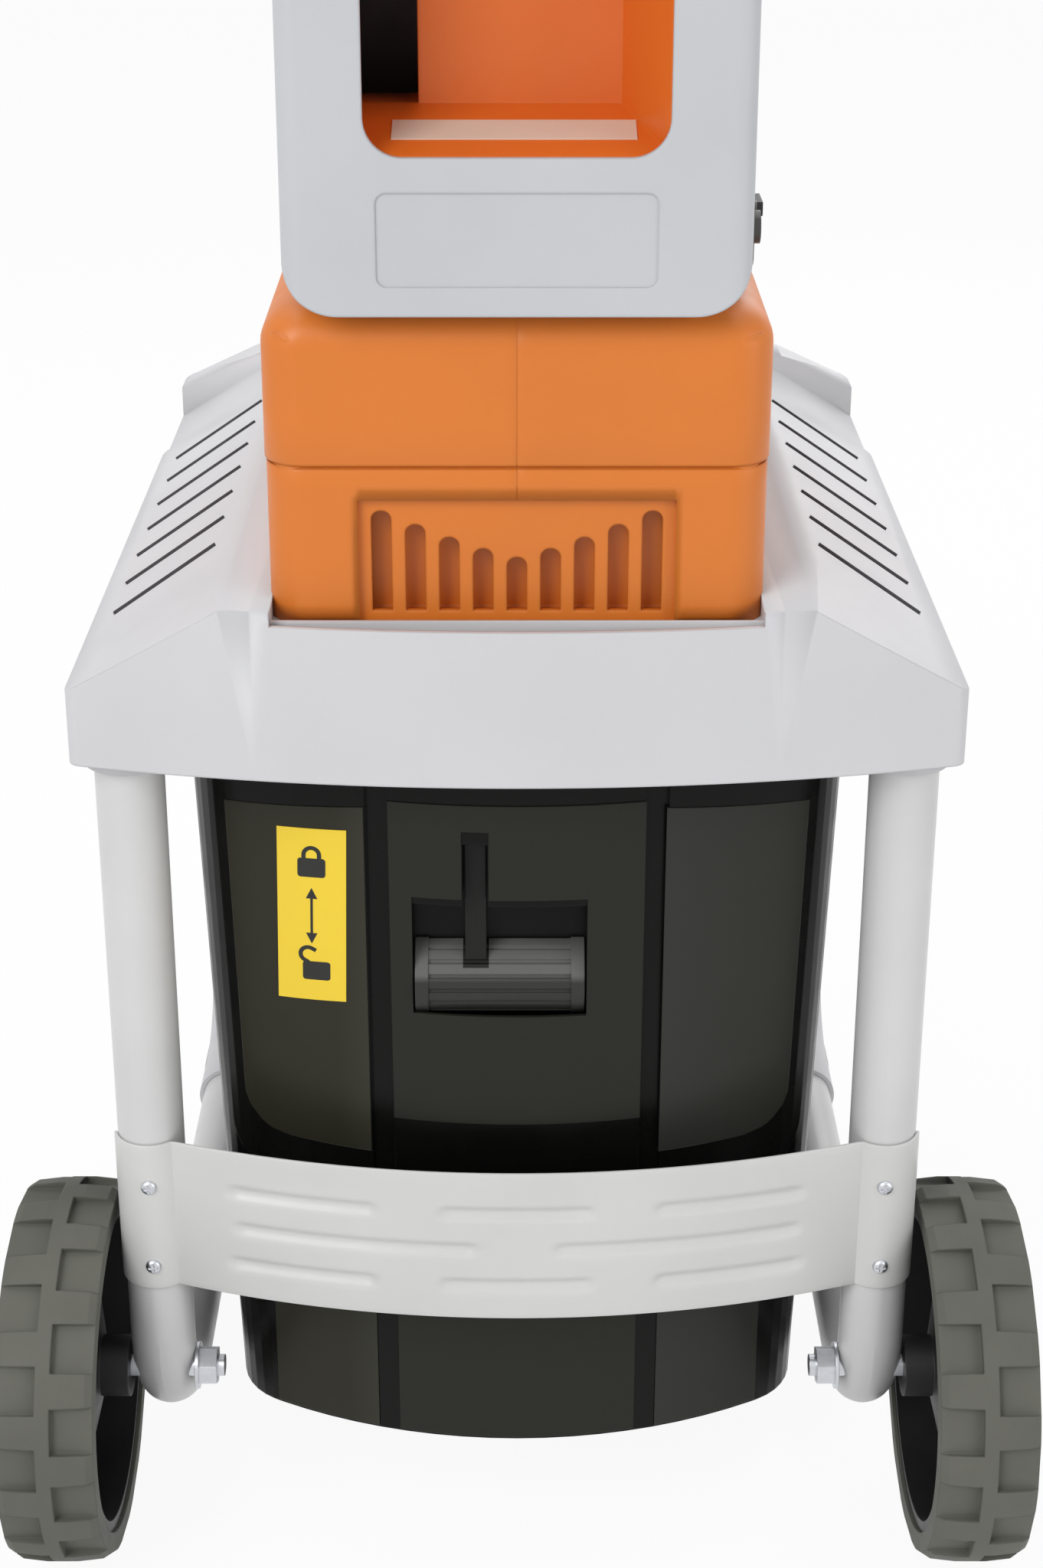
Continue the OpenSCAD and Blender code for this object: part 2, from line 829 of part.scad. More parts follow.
module base_cover() {
    rear_gap = rail_web - 0.5;
    color(grey)
        difference() {
            union() {
                difference() {
                    cover_solid(0, skirt_z);
                    cover_solid(cover_wall, skirt_z - past);
                }
                slab([-deck_half - deck_t, deck_half + deck_t], [body_front - 2 - deck_t, body_rear + 2 + deck_t],
                    [deck_z - deck_t, cover_top]);
                leg_sockets();
                bin_rails();
                lock_keeper();
            }
            slab([-deck_half, deck_half], [body_front - 2, body_rear + 2], [deck_z, cover_top + past]);
            slab([-deck_half, deck_half], [cover_front - cover_bow - past, body_front],
                [cover_top - lip_drop, cover_top + past]);
            slab(discharge_x, discharge_y, [deck_z - 2 * deck_t, deck_z + past]);
            slab([-rear_gap, rear_gap], [ridge_y - 20, cover_rear + past], [skirt_z - past, bin_top + 6]);
            slab([rod_x - rod_w / 2 - rod_room, rod_x + rod_w / 2 + rod_room],
                [rod_back - rod_t - rod_room, rod_back + rod_room], [keeper_z - past, keeper_z + keeper_wall + past]);
            louvres();
            for (side = [-1, 1], y = leg_ys())
                rod_z(socket_z - past, leg_top + seat, side * leg_x, y, tube_d + 2 * fit);
            for (p = base_screw_spots())
                rod_z(deck_z - 2 * deck_t, deck_z + past, p[0], p[1], base_screw_d + 2 * fit);
        }
}

module base_screws() {
    head_d = 10;
    head_h = 3;
    color(steel)
        for (p = base_screw_spots()) {
            rod_z(deck_z - deck_t - head_h, deck_z - deck_t, p[0], p[1], head_d);
            rod_z(deck_z - deck_t - 0.5, deck_z + body_floor + 8, p[0], p[1], base_screw_d);
        }
}

// Bin
module bin_plan(inset) {
    offset(r = bin_corner_r - inset, $fn = 36)
        offset(delta = -bin_corner_r)
            intersection() {
                translate([0, bin_bow_r - bin_l / 2])
                    circle(bin_bow_r, $fn = 120);
                square([bin_foot_w, bin_l], center = true);
            }
}

module bin_taper(inset, z0, z1) {
    intersection() {
        translate([0, bin_mid_y, bin_z])
            linear_extrude(bin_body_h, scale = [flare_x, flare_y], slices = 1) bin_plan(inset);
        slab([-bin_w, bin_w], [bin_mid_y - bin_l, bin_mid_y + bin_l], [z0, z1]);
    }
}

// Upright part above the taper, cut to a half width
module bin_neck(inset, half, z0, z1) {
    translate([0, bin_mid_y, z0])
        linear_extrude(z1 - z0)
            intersection() {
                scale([flare_x, flare_y]) bin_plan(inset);
                square([2 * half, 2 * bin_l], center = true);
            }
}

// Outline of the three raised pads, seen from the front
module pad_outline() {
    z0 = bin_z + pad_drop;
    z1 = bin_z + bin_body_h - 4;
    lean = (bin_w - bin_foot_w) / 2 / bin_body_h;
    edge0 = bin_foot_w / 2 + lean * pad_drop - pad_edge;
    edge1 = bin_half - pad_edge;
    translate([-pad_mid / 2, z0]) square([pad_mid, z1 - z0]);
    for (s = [-1, 1])
        mirror([s > 0 ? 0 : 1, 0])
            intersection() {
                offset(r = 30, $fn = 36)
                    offset(delta = -30)
                        polygon([[0, z0 - 8], [edge0, z0 - 8], [edge1, z1 + 60], [0, z1 + 60]]);
                translate([pad_mid / 2 + pad_gap, 0]) square([bin_half, z1]);
            }
}

// Shallow lines down the foot of the bin's front
module bin_foot_lines() {
    line_x = pad_mid / 2 - 4;
    line_w = 2.5;
    for (side = [-1, 1])
        mirrored(side)
            difference() {
                slab([line_x - line_w / 2, line_x + line_w / 2], [bin_mid_y - bin_l, bin_mid_y - bin_l / 4],
                    [bin_z + 8, bin_z + pad_drop - 30]);
                bin_taper(1, bin_z, bin_z + bin_body_h);
            }
}

grip_x0 = grip_x - grip_w / 2;
grip_x1 = grip_x + grip_w / 2;
channel_x = [rod_x - rod_w / 2 - rod_room - 0.5, rod_x + rod_w / 2 + rod_room + 0.5];

module lock_pocket_walls() {
    front = bin_mid_y - bin_l;
    slab([grip_x0 - pocket_side - pocket_wall, grip_x1 + pocket_side + pocket_wall],
        [front, pocket_back + pocket_wall], [grip_z - seat - pocket_wall, pocket_top + pocket_wall]);
    slab([channel_x[0] - pocket_wall, channel_x[1] + pocket_wall], [front, rod_back + rod_room + pocket_wall],
        [pocket_top, bin_top]);
}

module lock_pocket_room() {
    front = bin_mid_y - bin_l;
    slab([grip_x0 - pocket_side, grip_x1 + pocket_side], [front, pocket_back], [grip_z - seat, pocket_top]);
    slab(channel_x, [rod_back - rod_t - rod_room, rod_back + rod_room], [grip_z, bin_top + past]);
    slab([rod_x - rod_w / 2 - rod_room, rod_x + rod_w / 2 + rod_room], [front, rod_back],
        [pocket_top - past, pocket_top + 36]);
}

module bin() {
    top = bin_z + bin_body_h;
    hand_half = 50;
    neck_step = 0.8;
    hand_z = [top - 46, top - 18];
    color(black)
        difference() {
            union() {
                difference() {
                    union() {
                        bin_taper(0, bin_z, top);
                        bin_neck(neck_step, neck_half, top - bin_wall / 2, bin_top - flange_t / 2);
                        bin_neck(0, bin_half, rail_top + rail_gap, bin_top);
                    }
                    bin_taper(bin_wall, bin_z + bin_floor, top - bin_wall);
                    bin_neck(bin_wall + neck_step, neck_half - bin_wall, top - 2 * bin_wall, bin_top + past);
                }
                intersection() {
                    difference() {
                        bin_taper(-pad_raise, bin_z, top);
                        bin_taper(bin_wall / 2, bin_z - past, top + past);
                    }
                    along_y(bin_mid_y - bin_l, bin_mid_y - bin_l / 4) pad_outline();
                }
                intersection() {
                    bin_taper(neck_step, bin_z, top);
                    lock_pocket_walls();
                }
                intersection() {
                    bin_neck(bin_wall / 2, bin_half, top - bin_wall, bin_top - flange_t / 2);
                    lock_pocket_walls();
                }
            }
            lock_pocket_room();
            bin_foot_lines();
            slab([-hand_half, hand_half], [bin_mid_y + bin_l / 2 - 20, bin_mid_y + bin_l], hand_z);
        }
}

// Section of the grip: a round bar with a flat back
module grip_section(r) {
    intersection() {
        translate([grip_front + grip_h / 2, grip_z + grip_h / 2]) circle(r);
        translate([grip_front - past, grip_z])
            square([pocket_back - seat - grip_front + past, grip_h]);
    }
}

// Grip and rod that lift together into the keeper
module lock_slider() {
    cap_w = 7;
    groove_d = 2.6;
    bar_r = grip_h / 2 - 0.8;
    color(dark)
        difference() {
            union() {
                along_x(grip_x0, grip_x1) grip_section(bar_r);
                for (x = [grip_x0, grip_x1 - cap_w])
                    along_x(x, x + cap_w) grip_section(grip_h / 2);
                slab([rod_x - rod_w / 2, rod_x + rod_w / 2], [rod_back - rod_t, rod_back],
                    [grip_z + grip_h / 2, rod_top]);
            }
            for (a = [118:21:242])
                rod_x(grip_x0 + cap_w, grip_x1 - cap_w, grip_front + grip_h / 2 + bar_r * cos(a),
                    grip_z + grip_h / 2 + bar_r * sin(a), groove_d);
        }
}

// Drive housing
module body_plan(inset) {
    round_rect(-body_half + inset, body_half - inset, body_front + inset, body_rear - inset, body_r - inset);
}

function vent_top(i) = vent_z + vent_mid_h
    + (vent_side_h - vent_mid_h) * pow(abs(i - (vent_count - 1) / 2) / ((vent_count - 1) / 2), 1.2);

module vents() {
    for (i = [0:vent_count - 1])
        translate([(i - (vent_count - 1) / 2) * vent_pitch, 0, 0])
            along_y(body_front - past, body_front + 3 * body_wall)
                arch_rect(-vent_w / 2, vent_w / 2, vent_z, vent_top(i), vent_w / 2 - 0.2);
}

function cradle_xs() = [motor_x0 + 16, motor_x0 + motor_l - 20];

module lower_housing() {
    panel_in = 3;
    baffle_in = 14;
    boss_d = 12;
    boss_h = 12;
    cradle_t = 4;
    color(orange)
        difference() {
            union() {
                difference() {
                    along_z(deck_z, seam_z) body_plan(0);
                    along_z(deck_z + body_floor, seam_z + past) body_plan(body_wall);
                }
                slab([-vent_panel_half - body_wall, vent_panel_half + body_wall],
                    [body_front + body_wall / 2, body_front + panel_in + body_wall],
                    [deck_z + body_floor / 2, vent_z + vent_panel_h + body_wall]);
                slab([-vent_panel_half, vent_panel_half], [body_front + baffle_in, body_front + baffle_in + 2.5],
                    [deck_z + body_floor / 2, vent_z + vent_panel_h]);
                for (p = base_screw_spots())
                    rod_z(deck_z + body_floor / 2, deck_z + body_floor + boss_h, p[0], p[1], boss_d);
                for (x = cradle_xs())
                    difference() {
                        slab([x, x + cradle_t], [motor_y - motor_d / 3, motor_y + motor_d / 3],
                            [deck_z + body_floor / 2, drive_z - motor_d / 4]);
                        rod_x(x - past, x + cradle_t + past, motor_y, drive_z, motor_d + 2 * seat);
                    }
            }
            slab(discharge_x, discharge_y, [deck_z - past, deck_z + body_floor + past]);
            along_y(body_front - past, body_front + panel_in)
                arch_rect(-vent_panel_half, vent_panel_half, deck_z - past, vent_z + vent_panel_h, 3);
            vents();
            for (p = base_screw_spots())
                rod_z(deck_z - past, deck_z + body_floor + 9, p[0], p[1], base_screw_d + 2 * fit);
            rod_y(body_rear - 2 * body_wall, body_rear + past, screw_x, drive_z, screw_d + 1);
        }
}

module upper_solid(inset, z0) {
    intersection() {
        along_z(z0, body_top) body_plan(inset);
        along_y(body_front, body_rear)
            arch_rect(-body_half + inset, body_half - inset, z0, body_top - inset, shoulder_r - inset);
        along_x(-body_half, body_half)
            arch_rect(body_front + inset, body_rear - inset, z0, body_top - inset, shoulder_r - inset);
    }
}

// Raised seat on the upper shell
module hopper_seat(inset) {
    seat_half = hopper_half - hopper_foot_r / 2;
    seat_r = 10;
    along_z(body_top - 2 * body_wall, hopper_z - inset)
        round_rect(-seat_half + inset, seat_half - inset, body_front + 12 + inset, hopper_rear_y - 12 - inset,
            seat_r - inset);
}

function hopper_screw_spots() = [for (x = [-1, 1], y = [body_front + 25, hopper_rear_y - 25])
    [x * (hopper_half - 38), y]];
hopper_screw_d = 4;
duct_gap = 1;
duct_hole_x = [duct_x0 - funnel_wall - duct_gap, duct_x1 + funnel_wall + duct_gap];
duct_hole_y = [chamber_front_y - funnel_wall - duct_gap, duct_y1 + funnel_wall + duct_gap];

module upper_housing() {
    line_w = 0.8;
    line_t = 0.6;
    inlet_z = seam_z + 38;
    boss_d = 9;
    color(orange)
        difference() {
            union() {
                difference() {
                    union() {
                        upper_solid(0, seam_z);
                        hopper_seat(0);
                    }
                    upper_solid(body_wall, seam_z - past);
                    hopper_seat(body_wall);
                }
                for (p = hopper_screw_spots())
                    rod_z(hopper_z - 16, hopper_z - body_wall / 2, p[0], p[1], boss_d);
            }
            slab(duct_hole_x, duct_hole_y, [body_top - 3 * body_wall, hopper_z + past]);
            slab([-line_w / 2, line_w / 2], [body_front - past, body_front + line_t],
                [seam_z - past, body_top - shoulder_r]);
            for (p = hopper_screw_spots())
                rod_z(hopper_z - 20, hopper_z + past, p[0], p[1], hopper_screw_d + 2 * fit);
            along_y(body_rear - 2 * body_wall, body_rear + past)
                round_rect(inlet_x - inlet_w / 2 + 3, inlet_x + inlet_w / 2 - 3, inlet_z - inlet_h / 2 + 3,
                    inlet_z + inlet_h / 2 - 3, 3);
        }
}

// Socket on the rear with two contact pins and an earth pin
module power_inlet() {
    z = seam_z + 38;
    wall = 2.5;
    pin_d = 4;
    base_y = body_rear - body_wall - 6;
    color(black) {
        difference() {
            union() {
                along_y(body_rear, body_rear + inlet_l)
                    round_rect(inlet_x - inlet_w / 2, inlet_x + inlet_w / 2, z - inlet_h / 2, z + inlet_h / 2, 6);
                along_y(base_y, body_rear + past)
                    round_rect(inlet_x - inlet_w / 2 + 3 + seat, inlet_x + inlet_w / 2 - 3 - seat,
                        z - inlet_h / 2 + 3 + seat, z + inlet_h / 2 - 3 - seat, 2.5);
            }
            along_y(body_rear + 2, body_rear + inlet_l + past)
                round_rect(inlet_x - inlet_w / 2 + wall, inlet_x + inlet_w / 2 - wall,
                    z - inlet_h / 2 + wall, z + inlet_h / 2 - wall, 3.5);
        }
        for (dx = [-9.5, 0, 9.5])
            rod_y(body_rear + 1, body_rear + inlet_l - 5, inlet_x + dx, z + (dx == 0 ? 4 : -2), pin_d);
    }
}

// Hopper
// Side outline, moved inwards
module hopper_side(inset) {
    slope_y = hopper_front + hopper_ridge;
    rear_z = hopper_top - hopper_fall;
    round_r = 22;
    offset(r = round_r - inset, $fn = 32)
        offset(delta = -round_r)
            polygon([[hopper_front, hopper_z], [hopper_front, hopper_top], [slope_y, hopper_top],
                [hopper_rear_y, rear_z], [hopper_rear_y, hopper_z]]);
}

module hopper_solid(inset) {
    intersection() {
        along_z(hopper_z, hopper_top)
            round_rect(-hopper_half + inset, hopper_half - inset, hopper_front + inset, hopper_rear_y - inset,
                hopper_edge_r - inset);
        along_y(hopper_front, hopper_rear_y)
            round_rect(-hopper_half + inset, hopper_half - inset, hopper_z + inset, hopper_top - inset,
                hopper_foot_r - inset);
        along_x(-hopper_half, hopper_half)
            union() {
                hopper_side(inset);
                translate([hopper_front + inset, hopper_z + inset])
                    square([hopper_depth - 2 * inset, 30]);
            }
    }
}

module hopper_shell() {
    difference() {
        hopper_solid(0);
        hopper_solid(hopper_wall);
        slab(duct_hole_x, duct_hole_y, [hopper_z - past, hopper_z + 2 * hopper_wall]);
        for (p = hopper_screw_spots())
            rod_z(hopper_z - past, hopper_z + 2 * hopper_wall, p[0], p[1], hopper_screw_d + 2 * fit);
    }
}

module hopper_front() {
    label_half = 65;
    label_z = [hopper_z + 14, hopper_z + 58];
    label_in = 0.8;
    color(grey)
        difference() {
            intersection() {
                hopper_shell();
                slab([-hopper_w, hopper_w], [hopper_front - past, hopper_split], [hopper_z - past, hopper_top + past]);
            }
            along_y(hopper_front - past, hopper_front + 2 * hopper_wall)
                round_rect(-mouth_half, mouth_half, sill_z, mouth_top, mouth_r);
            along_y(hopper_front - past, hopper_front + label_in)
                round_rect(-label_half, label_half, label_z[0], label_z[1], 5);
            slab([hopper_half - 2 * hopper_wall, hopper_half + past],
                [control_y0 + 4 - seat, control_y0 + control_l - 4 + seat],
                [control_z - control_h / 2 + 4 - seat, control_z + control_h / 2 - 4 + seat]);
        }
}

module hopper_rear() {
    color(grey)
        intersection() {
            hopper_shell();
            slab([-hopper_w, hopper_w], [hopper_split, hopper_rear_y + past], [hopper_z - past, hopper_top + past]);
        }
}

// Funnel behind the mouth, grown outwards by t
module funnel(t) {
    y0 = hopper_front + hopper_wall - (t == 0 ? past : 0);
    y1 = funnel_back + t;
    taper = 20.5;
    intersection() {
        along_z(hopper_z, hopper_top)
            polygon([[-mouth_half - t, y0], [mouth_half + t, y0], [mouth_half - taper + t, y1],
                [duct_x0 - t, y1]]);
        along_x(-hopper_half, hopper_half)
            polygon([[y0, sill_z - t], [y1, sill_z + floor_rise - t], [y1, mouth_top - floor_rise + t],
                [y0, mouth_top + t]]);
    }
}

// Feed duct from the funnel's back down to the roller, grown outwards by t
module duct(t, z0, z1) {
    slab([duct_x0 - t, duct_x1 + t], [chamber_front_y - t, duct_y1 + t], [z0, z1]);
    slab([duct_x0 - t, duct_x1 + t], [duct_y0 - t, duct_y1 + t], [duct_step - t, z1]);
}

module hopper_liner() {
    duct_top = mouth_top - floor_rise;
    flange_t = 3;
    flange_w = 6;
    color(orange)
        difference() {
            union() {
                funnel(funnel_wall);
                duct(funnel_wall, chamber_top + seat, duct_top + funnel_wall);
                slab([hopper_foot_r - hopper_half, duct_x1 + funnel_wall + flange_w],
                    [chamber_front_y - funnel_wall - flange_w, duct_y1 + funnel_wall + flange_w],
                    [hopper_z + hopper_wall, hopper_z + hopper_wall + flange_t]);
            }
            funnel(0);
            duct(0, chamber_top - past, duct_top);
        }
}

module hopper_screws() {
    head_d = 8;
    head_h = 3;
    z = hopper_z + hopper_wall;
    color(steel)
        for (p = hopper_screw_spots()) {
            rod_z(z, z + head_h, p[0], p[1], head_d);
            rod_z(z - 14, z + 0.5, p[0], p[1], hopper_screw_d);
        }
}

// Drive
// Cast frame around the roller, open above and below, that guides the counter plate
module chamber_frame() {
    x0 = chamber_in_l - chamber_wall;
    x1 = chamber_in_r + chamber_right_t;
    y0 = chamber_front_y - 5;
    z0 = deck_z + body_floor;
    bridge_z = [drive_z - 25, drive_z + 25];
    color(cast)
        difference() {
            union() {
                slab([x0, chamber_in_l], [y0, chamber_rear_y + bridge_t], [z0, chamber_top]);
                slab([chamber_in_r, x1], [y0, chamber_rear_y + bridge_t], [z0, chamber_top]);
                slab([x0, x1], [y0, chamber_front_y], [z0, chamber_top]);
                slab([x0, x1], [chamber_rear_y, chamber_rear_y + bridge_t], bridge_z);
                slab([x0, x1], [plate_front - plate_travel, chamber_rear_y], [plate_z0 - 6, plate_z0 - seat]);
            }
            rod_x(x0 - past, chamber_in_l + past, roller_y, drive_z, bearing_d);
            rod_x(chamber_in_r - past, x1 + past, roller_y, drive_z, shaft_d + 8);
            rod_y(chamber_rear_y - past, chamber_rear_y + bridge_t + past, screw_x, drive_z, screw_d + 2 * fit);
        }
}

module roller_bearings() {
    color(steel)
        difference() {
            union() {
                rod_x(chamber_in_l - chamber_wall, chamber_in_l, roller_y, drive_z, bearing_d);
                rod_x(gear_x0, gear_x0 + cover_plate_t, roller_y, drive_z, bearing_d);
            }
            rod_x(chamber_in_l - 2 * chamber_wall, gear_in + past, roller_y, drive_z, shaft_d + 2 * fit);
        }
}

// Roller of stepped discs with hooked teeth, on its shaft
module cutting_roller() {
    discs = 5;
    step = 360 / roller_teeth;
    hook = 9;
    disc_w = roller_l / discs;
    shaft_end = roller_gear_x + roller_gear_w + 2;
    color(steel) {
        for (k = [0:discs - 1])
            along_x(roller_x0 + k * disc_w, roller_x0 + (k + 1) * disc_w)
                translate([roller_y, drive_z])
                    rotate(k * step / discs)
                        polygon([for (i = [0:roller_teeth - 1], p = [[0, roller_r], [0.06, roller_r],
                            [0.12, roller_r - hook], [0.5, roller_r - 0.6 * hook]])
                            p[1] * [cos((i + p[0]) * step), sin((i + p[0]) * step)]]);
        rod_x(chamber_in_l - chamber_wall, shaft_end, roller_y, drive_z, shaft_d);
    }
}

module counter_plate() {
    teeth = 7;
    boss_d = 20;
    boss_l = 5;
    notch = 2;
    color(steel)
        difference() {
            union() {
                slab([chamber_in_l + seat, chamber_in_r - seat], [plate_front, plate_front + plate_t],
                    [plate_z0, plate_z0 + plate_h]);
                rod_y(plate_front + plate_t - past, plate_front + plate_t + boss_l, screw_x, drive_z, boss_d);
            }
            for (i = [0:teeth - 1])
                slab([chamber_in_l, chamber_in_r], [plate_front - past, plate_front + notch],
                    [plate_z0 + (i + 0.35) * plate_h / teeth, plate_z0 + (i + 0.65) * plate_h / teeth]);
            rod_y(plate_front + 4, plate_front + plate_t + boss_l + past, screw_x, drive_z, screw_d + 2 * fit);
        }
}

module adjusting_screw() {
    collar_d = 18;
    collar_t = 4;
    y0 = chamber_rear_y + bridge_t + 2 * fit;
    color(steel) {
        rod_y(plate_front + 5, body_rear + 16, screw_x, drive_z, screw_d);
        rod_y(y0, y0 + collar_t, screw_x, drive_z, collar_d);
    }
}

module adjusting_knob() {
    lobes = 8;
    y0 = body_rear + 1;
    knob_l = 22;
    color(dark)
        difference() {
            rod_y(y0, y0 + knob_l, screw_x, drive_z, knob_d);
            for (i = [0:lobes - 1])
                rod_y(y0 + 4, y0 + knob_l + past, screw_x + knob_d * 0.56 * cos(i * 360 / lobes),
                    drive_z + knob_d * 0.56 * sin(i * 360 / lobes), knob_d / 4);
            rod_y(y0 - past, body_rear + 16, screw_x, drive_z, screw_d);
        }
}

// Involute outline of a spur gear
function involute(a) = tan(a) - a * PI / 180;
function half_angle(r, m, z) = 90 / z - backlash / (m * z) * 90 / PI
    + (involute(pressure) - involute(acos(min(1, m * z / 2 * cos(pressure) / r)))) * 180 / PI;

module gear_outline(m, z, head, foot) {
    r0 = m * z / 2 - foot * m;
    r1 = m * z / 2 + head * m;
    rb = max(r0, m * z / 2 * cos(pressure));
    steps = 4;
    radii = concat([r0], [for (k = [0:steps]) rb + (r1 - rb) * k / steps]);
    n = len(radii);
    polygon([for (i = [0:z - 1], k = [0:2 * n - 1])
        let (r = k < n ? radii[k] : radii[2 * n - 1 - k],
            a = i * 360 / z + (k < n ? -1 : 1) * half_angle(max(r, rb), m, z))
        r * [cos(a), sin(a)]]);
}

// A gear has a low head and a pinion a tall one, so that the small pinions run free
gear_head = 0.6;
pinion_head = 1.1;
gear_foot = 1.35;

module roller_gear() {
    lighten = 24;
    color(cast)
        along_x(roller_gear_x, roller_gear_x + roller_gear_w)
            translate([roller_y, drive_z])
                difference() {
                    gear_outline(roller_gear_m, roller_gear_z, gear_head, gear_foot);
                    circle(d = shaft_d);
                    for (i = [0:5])
                        rotate(i * 60) translate([roller_gear_m * roller_gear_z / 3.4, 0]) circle(d = lighten);
                }
}

// Layshaft: a wide gear driven by the motor and a pinion that drives the roller
module layshaft_gear() {
    color(cast) {
        along_x(lay_gear_x, lay_gear_x + lay_gear_w)
            translate([lay_y, drive_z])
                gear_outline(motor_gear_m, lay_gear_z, gear_head, gear_foot);
        along_x(roller_gear_x, lay_gear_x + past)
            translate([lay_y, drive_z])
                rotate(180 / lay_pinion_z * ((lay_pinion_z + 1) % 2))
                    gear_outline(roller_gear_m, lay_pinion_z, pinion_head, gear_foot);
        rod_x(gear_x0 + 2, gear_out + gear_wall - 2, lay_y, drive_z, lay_shaft_d);
    }
}

module gearbox_outline(inset) {
    translate([roller_y, drive_z]) circle(gear_room(roller_gear_m, roller_gear_z) + gear_rim - inset);
    translate([lay_y, drive_z]) circle(gear_room(motor_gear_m, lay_gear_z) + gear_rim - inset);
    translate([motor_y, drive_z]) circle(18 + gear_rim - inset);
}

function gearbox_screw_spots() = [for (a = [70, 125, 180, 235, 290])
    [roller_y, drive_z] + (gear_room(roller_gear_m, roller_gear_z) + gear_rim) * [cos(a), sin(a)]];
gearbox_screw_d = 4;
gearbox_head_d = 7;
gearbox_head_h = 2.5;
ear_d = 11;

module gearbox_cover() {
    color(cast)
        difference() {
            along_x(gear_x0, gear_in) {
                gearbox_outline(0);
                for (p = gearbox_screw_spots())
                    translate(p) circle(d = ear_d);
            }
            rod_x(gear_x0 - past, gear_in + past, roller_y, drive_z, bearing_d);
            rod_x(gear_x0 + 2 - fit, gear_in + past, lay_y, drive_z, lay_shaft_d + 2 * fit);
            for (p = gearbox_screw_spots()) {
                rod_x(gear_x0 - past, gear_in + past, p[0], p[1], gearbox_screw_d + 2 * fit);
                rod_x(gear_x0 - past, gear_x0 + gearbox_head_h, p[0], p[1], gearbox_head_d + 2 * fit);
            }
        }
}

module gearbox_housing() {
    color(cast)
        difference() {
            union() {
                along_x(gear_in, gear_out + gear_wall) gearbox_outline(0);
                for (p = gearbox_screw_spots())
                    rod_x(gear_in, gear_in + 14, p[0], p[1], ear_d);
            }
            along_x(gear_in - past, gear_out) gearbox_outline(gear_rim);
            rod_x(gear_out - past, gear_out + gear_wall - 2 + fit, lay_y, drive_z, lay_shaft_d + 2 * fit);
            rod_x(gear_out - past, gear_out + gear_wall + past, motor_y, drive_z, motor_shaft_d + 8);
            for (p = gearbox_screw_spots())
                rod_x(gear_in - past, gear_in + 12, p[0], p[1], gearbox_screw_d + 2 * fit);
        }
}

module gearbox_screws() {
    color(steel)
        for (p = gearbox_screw_spots()) {
            rod_x(gear_x0, gear_x0 + gearbox_head_h, p[0], p[1], gearbox_head_d);
            rod_x(gear_x0 + 1, gear_in + 11, p[0], p[1], gearbox_screw_d);
        }
}

module motor_stator() {
    fins = 16;
    fin_h = 3;
    can_d = motor_d - 2 * fin_h;
    color(cast)
        difference() {
            union() {
                rod_x(motor_x0, motor_x0 + motor_l, motor_y, drive_z, can_d);
                for (i = [0:fins - 1])
                    translate([motor_x0 + motor_bell, motor_y, drive_z])
                        rotate([(i + 0.5) * 360 / fins, 0, 0])
                            translate([0, -1.5, can_d / 2 - 2])
                                cube([motor_l - 2 * motor_bell, 3, fin_h + 2]);
            }
            rod_x(motor_x0 + motor_bell, motor_x0 + motor_l - motor_bell, motor_y, drive_z, rotor_d + 1);
            rod_x(motor_x0 - past, motor_x0 + motor_l + past, motor_y, drive_z, motor_shaft_d + 2 * fit);
        }
}

// Armature and shaft, with the pinion cut into the shaft's end
module motor_rotor() {
    core_gap = 3;
    color(steel) {
        rod_x(motor_x0 + motor_bell + core_gap, motor_x0 + motor_l - motor_bell - core_gap, motor_y, drive_z, rotor_d);
        rod_x(gear_out + 1, motor_x0 + motor_l + 13, motor_y, drive_z, motor_shaft_d);
        along_x(lay_gear_x - 1, gear_out + 2)
            translate([motor_y, drive_z])
                rotate(180 / motor_pinion_z * ((motor_pinion_z + 1) % 2))
                    gear_outline(motor_gear_m, motor_pinion_z, pinion_head, gear_foot);
    }
}

module motor_fan() {
    blades = 9;
    x0 = motor_x0 + motor_l + 3;
    hub = 26;
    fan_r = motor_d / 2 - 8;
    color(dark)
        difference() {
            union() {
                rod_x(x0, x0 + 9, motor_y, drive_z, hub);
                rod_x(x0, x0 + 2, motor_y, drive_z, 2 * fan_r);
                for (i = [0:blades - 1])
                    translate([x0, motor_y, drive_z])
                        rotate([i * 360 / blades, 0, 0])
                            translate([1, -1, hub / 2 - 2])
                                cube([7, 2, fan_r - hub / 2]);
            }
            rod_x(x0 - past, x0 + 12, motor_y, drive_z, motor_shaft_d);
        }
}

module motor_capacitor() {
    d = 40;
    l = 70;
    x0 = motor_x0 + 22;
    y = motor_y - motor_d / 2 - d / 2 - 40;
    z = deck_z + body_floor + d / 2 + seat / 3;
    color(grey) {
        rod_x(x0, x0 + l, y, z, d);
        for (dy = [-7, 7])
            rod_x(x0 - 8, x0 + past, y + dy, z, 5);
    }
}

// Controls
module switch_panel() {
    box_y = [control_y0 + 4, control_y0 + control_l - 4];
    box_z = [control_z - control_h / 2 + 4, control_z + control_h / 2 - 4];
    well = button_x - control_box + 2;
    color(dark)
        difference() {
            union() {
                along_x(hopper_half, button_x)
                    round_rect(control_y0, control_y0 + control_l, control_z - control_h / 2,
                        control_z + control_h / 2, 6);
                slab([button_x - control_box, hopper_half + past], box_y, box_z);
            }
            for (y = [start_y, stop_y])
                rod_x(well, button_x + past, y, control_z, button_d + 2 * fit);
            rod_x(well, button_x + past, reset_y, control_z, reset_d + 2 * fit);
            rod_x(well, button_x + past, selector_y, control_z, selector_d / 2 + 2 * fit);
        }
}

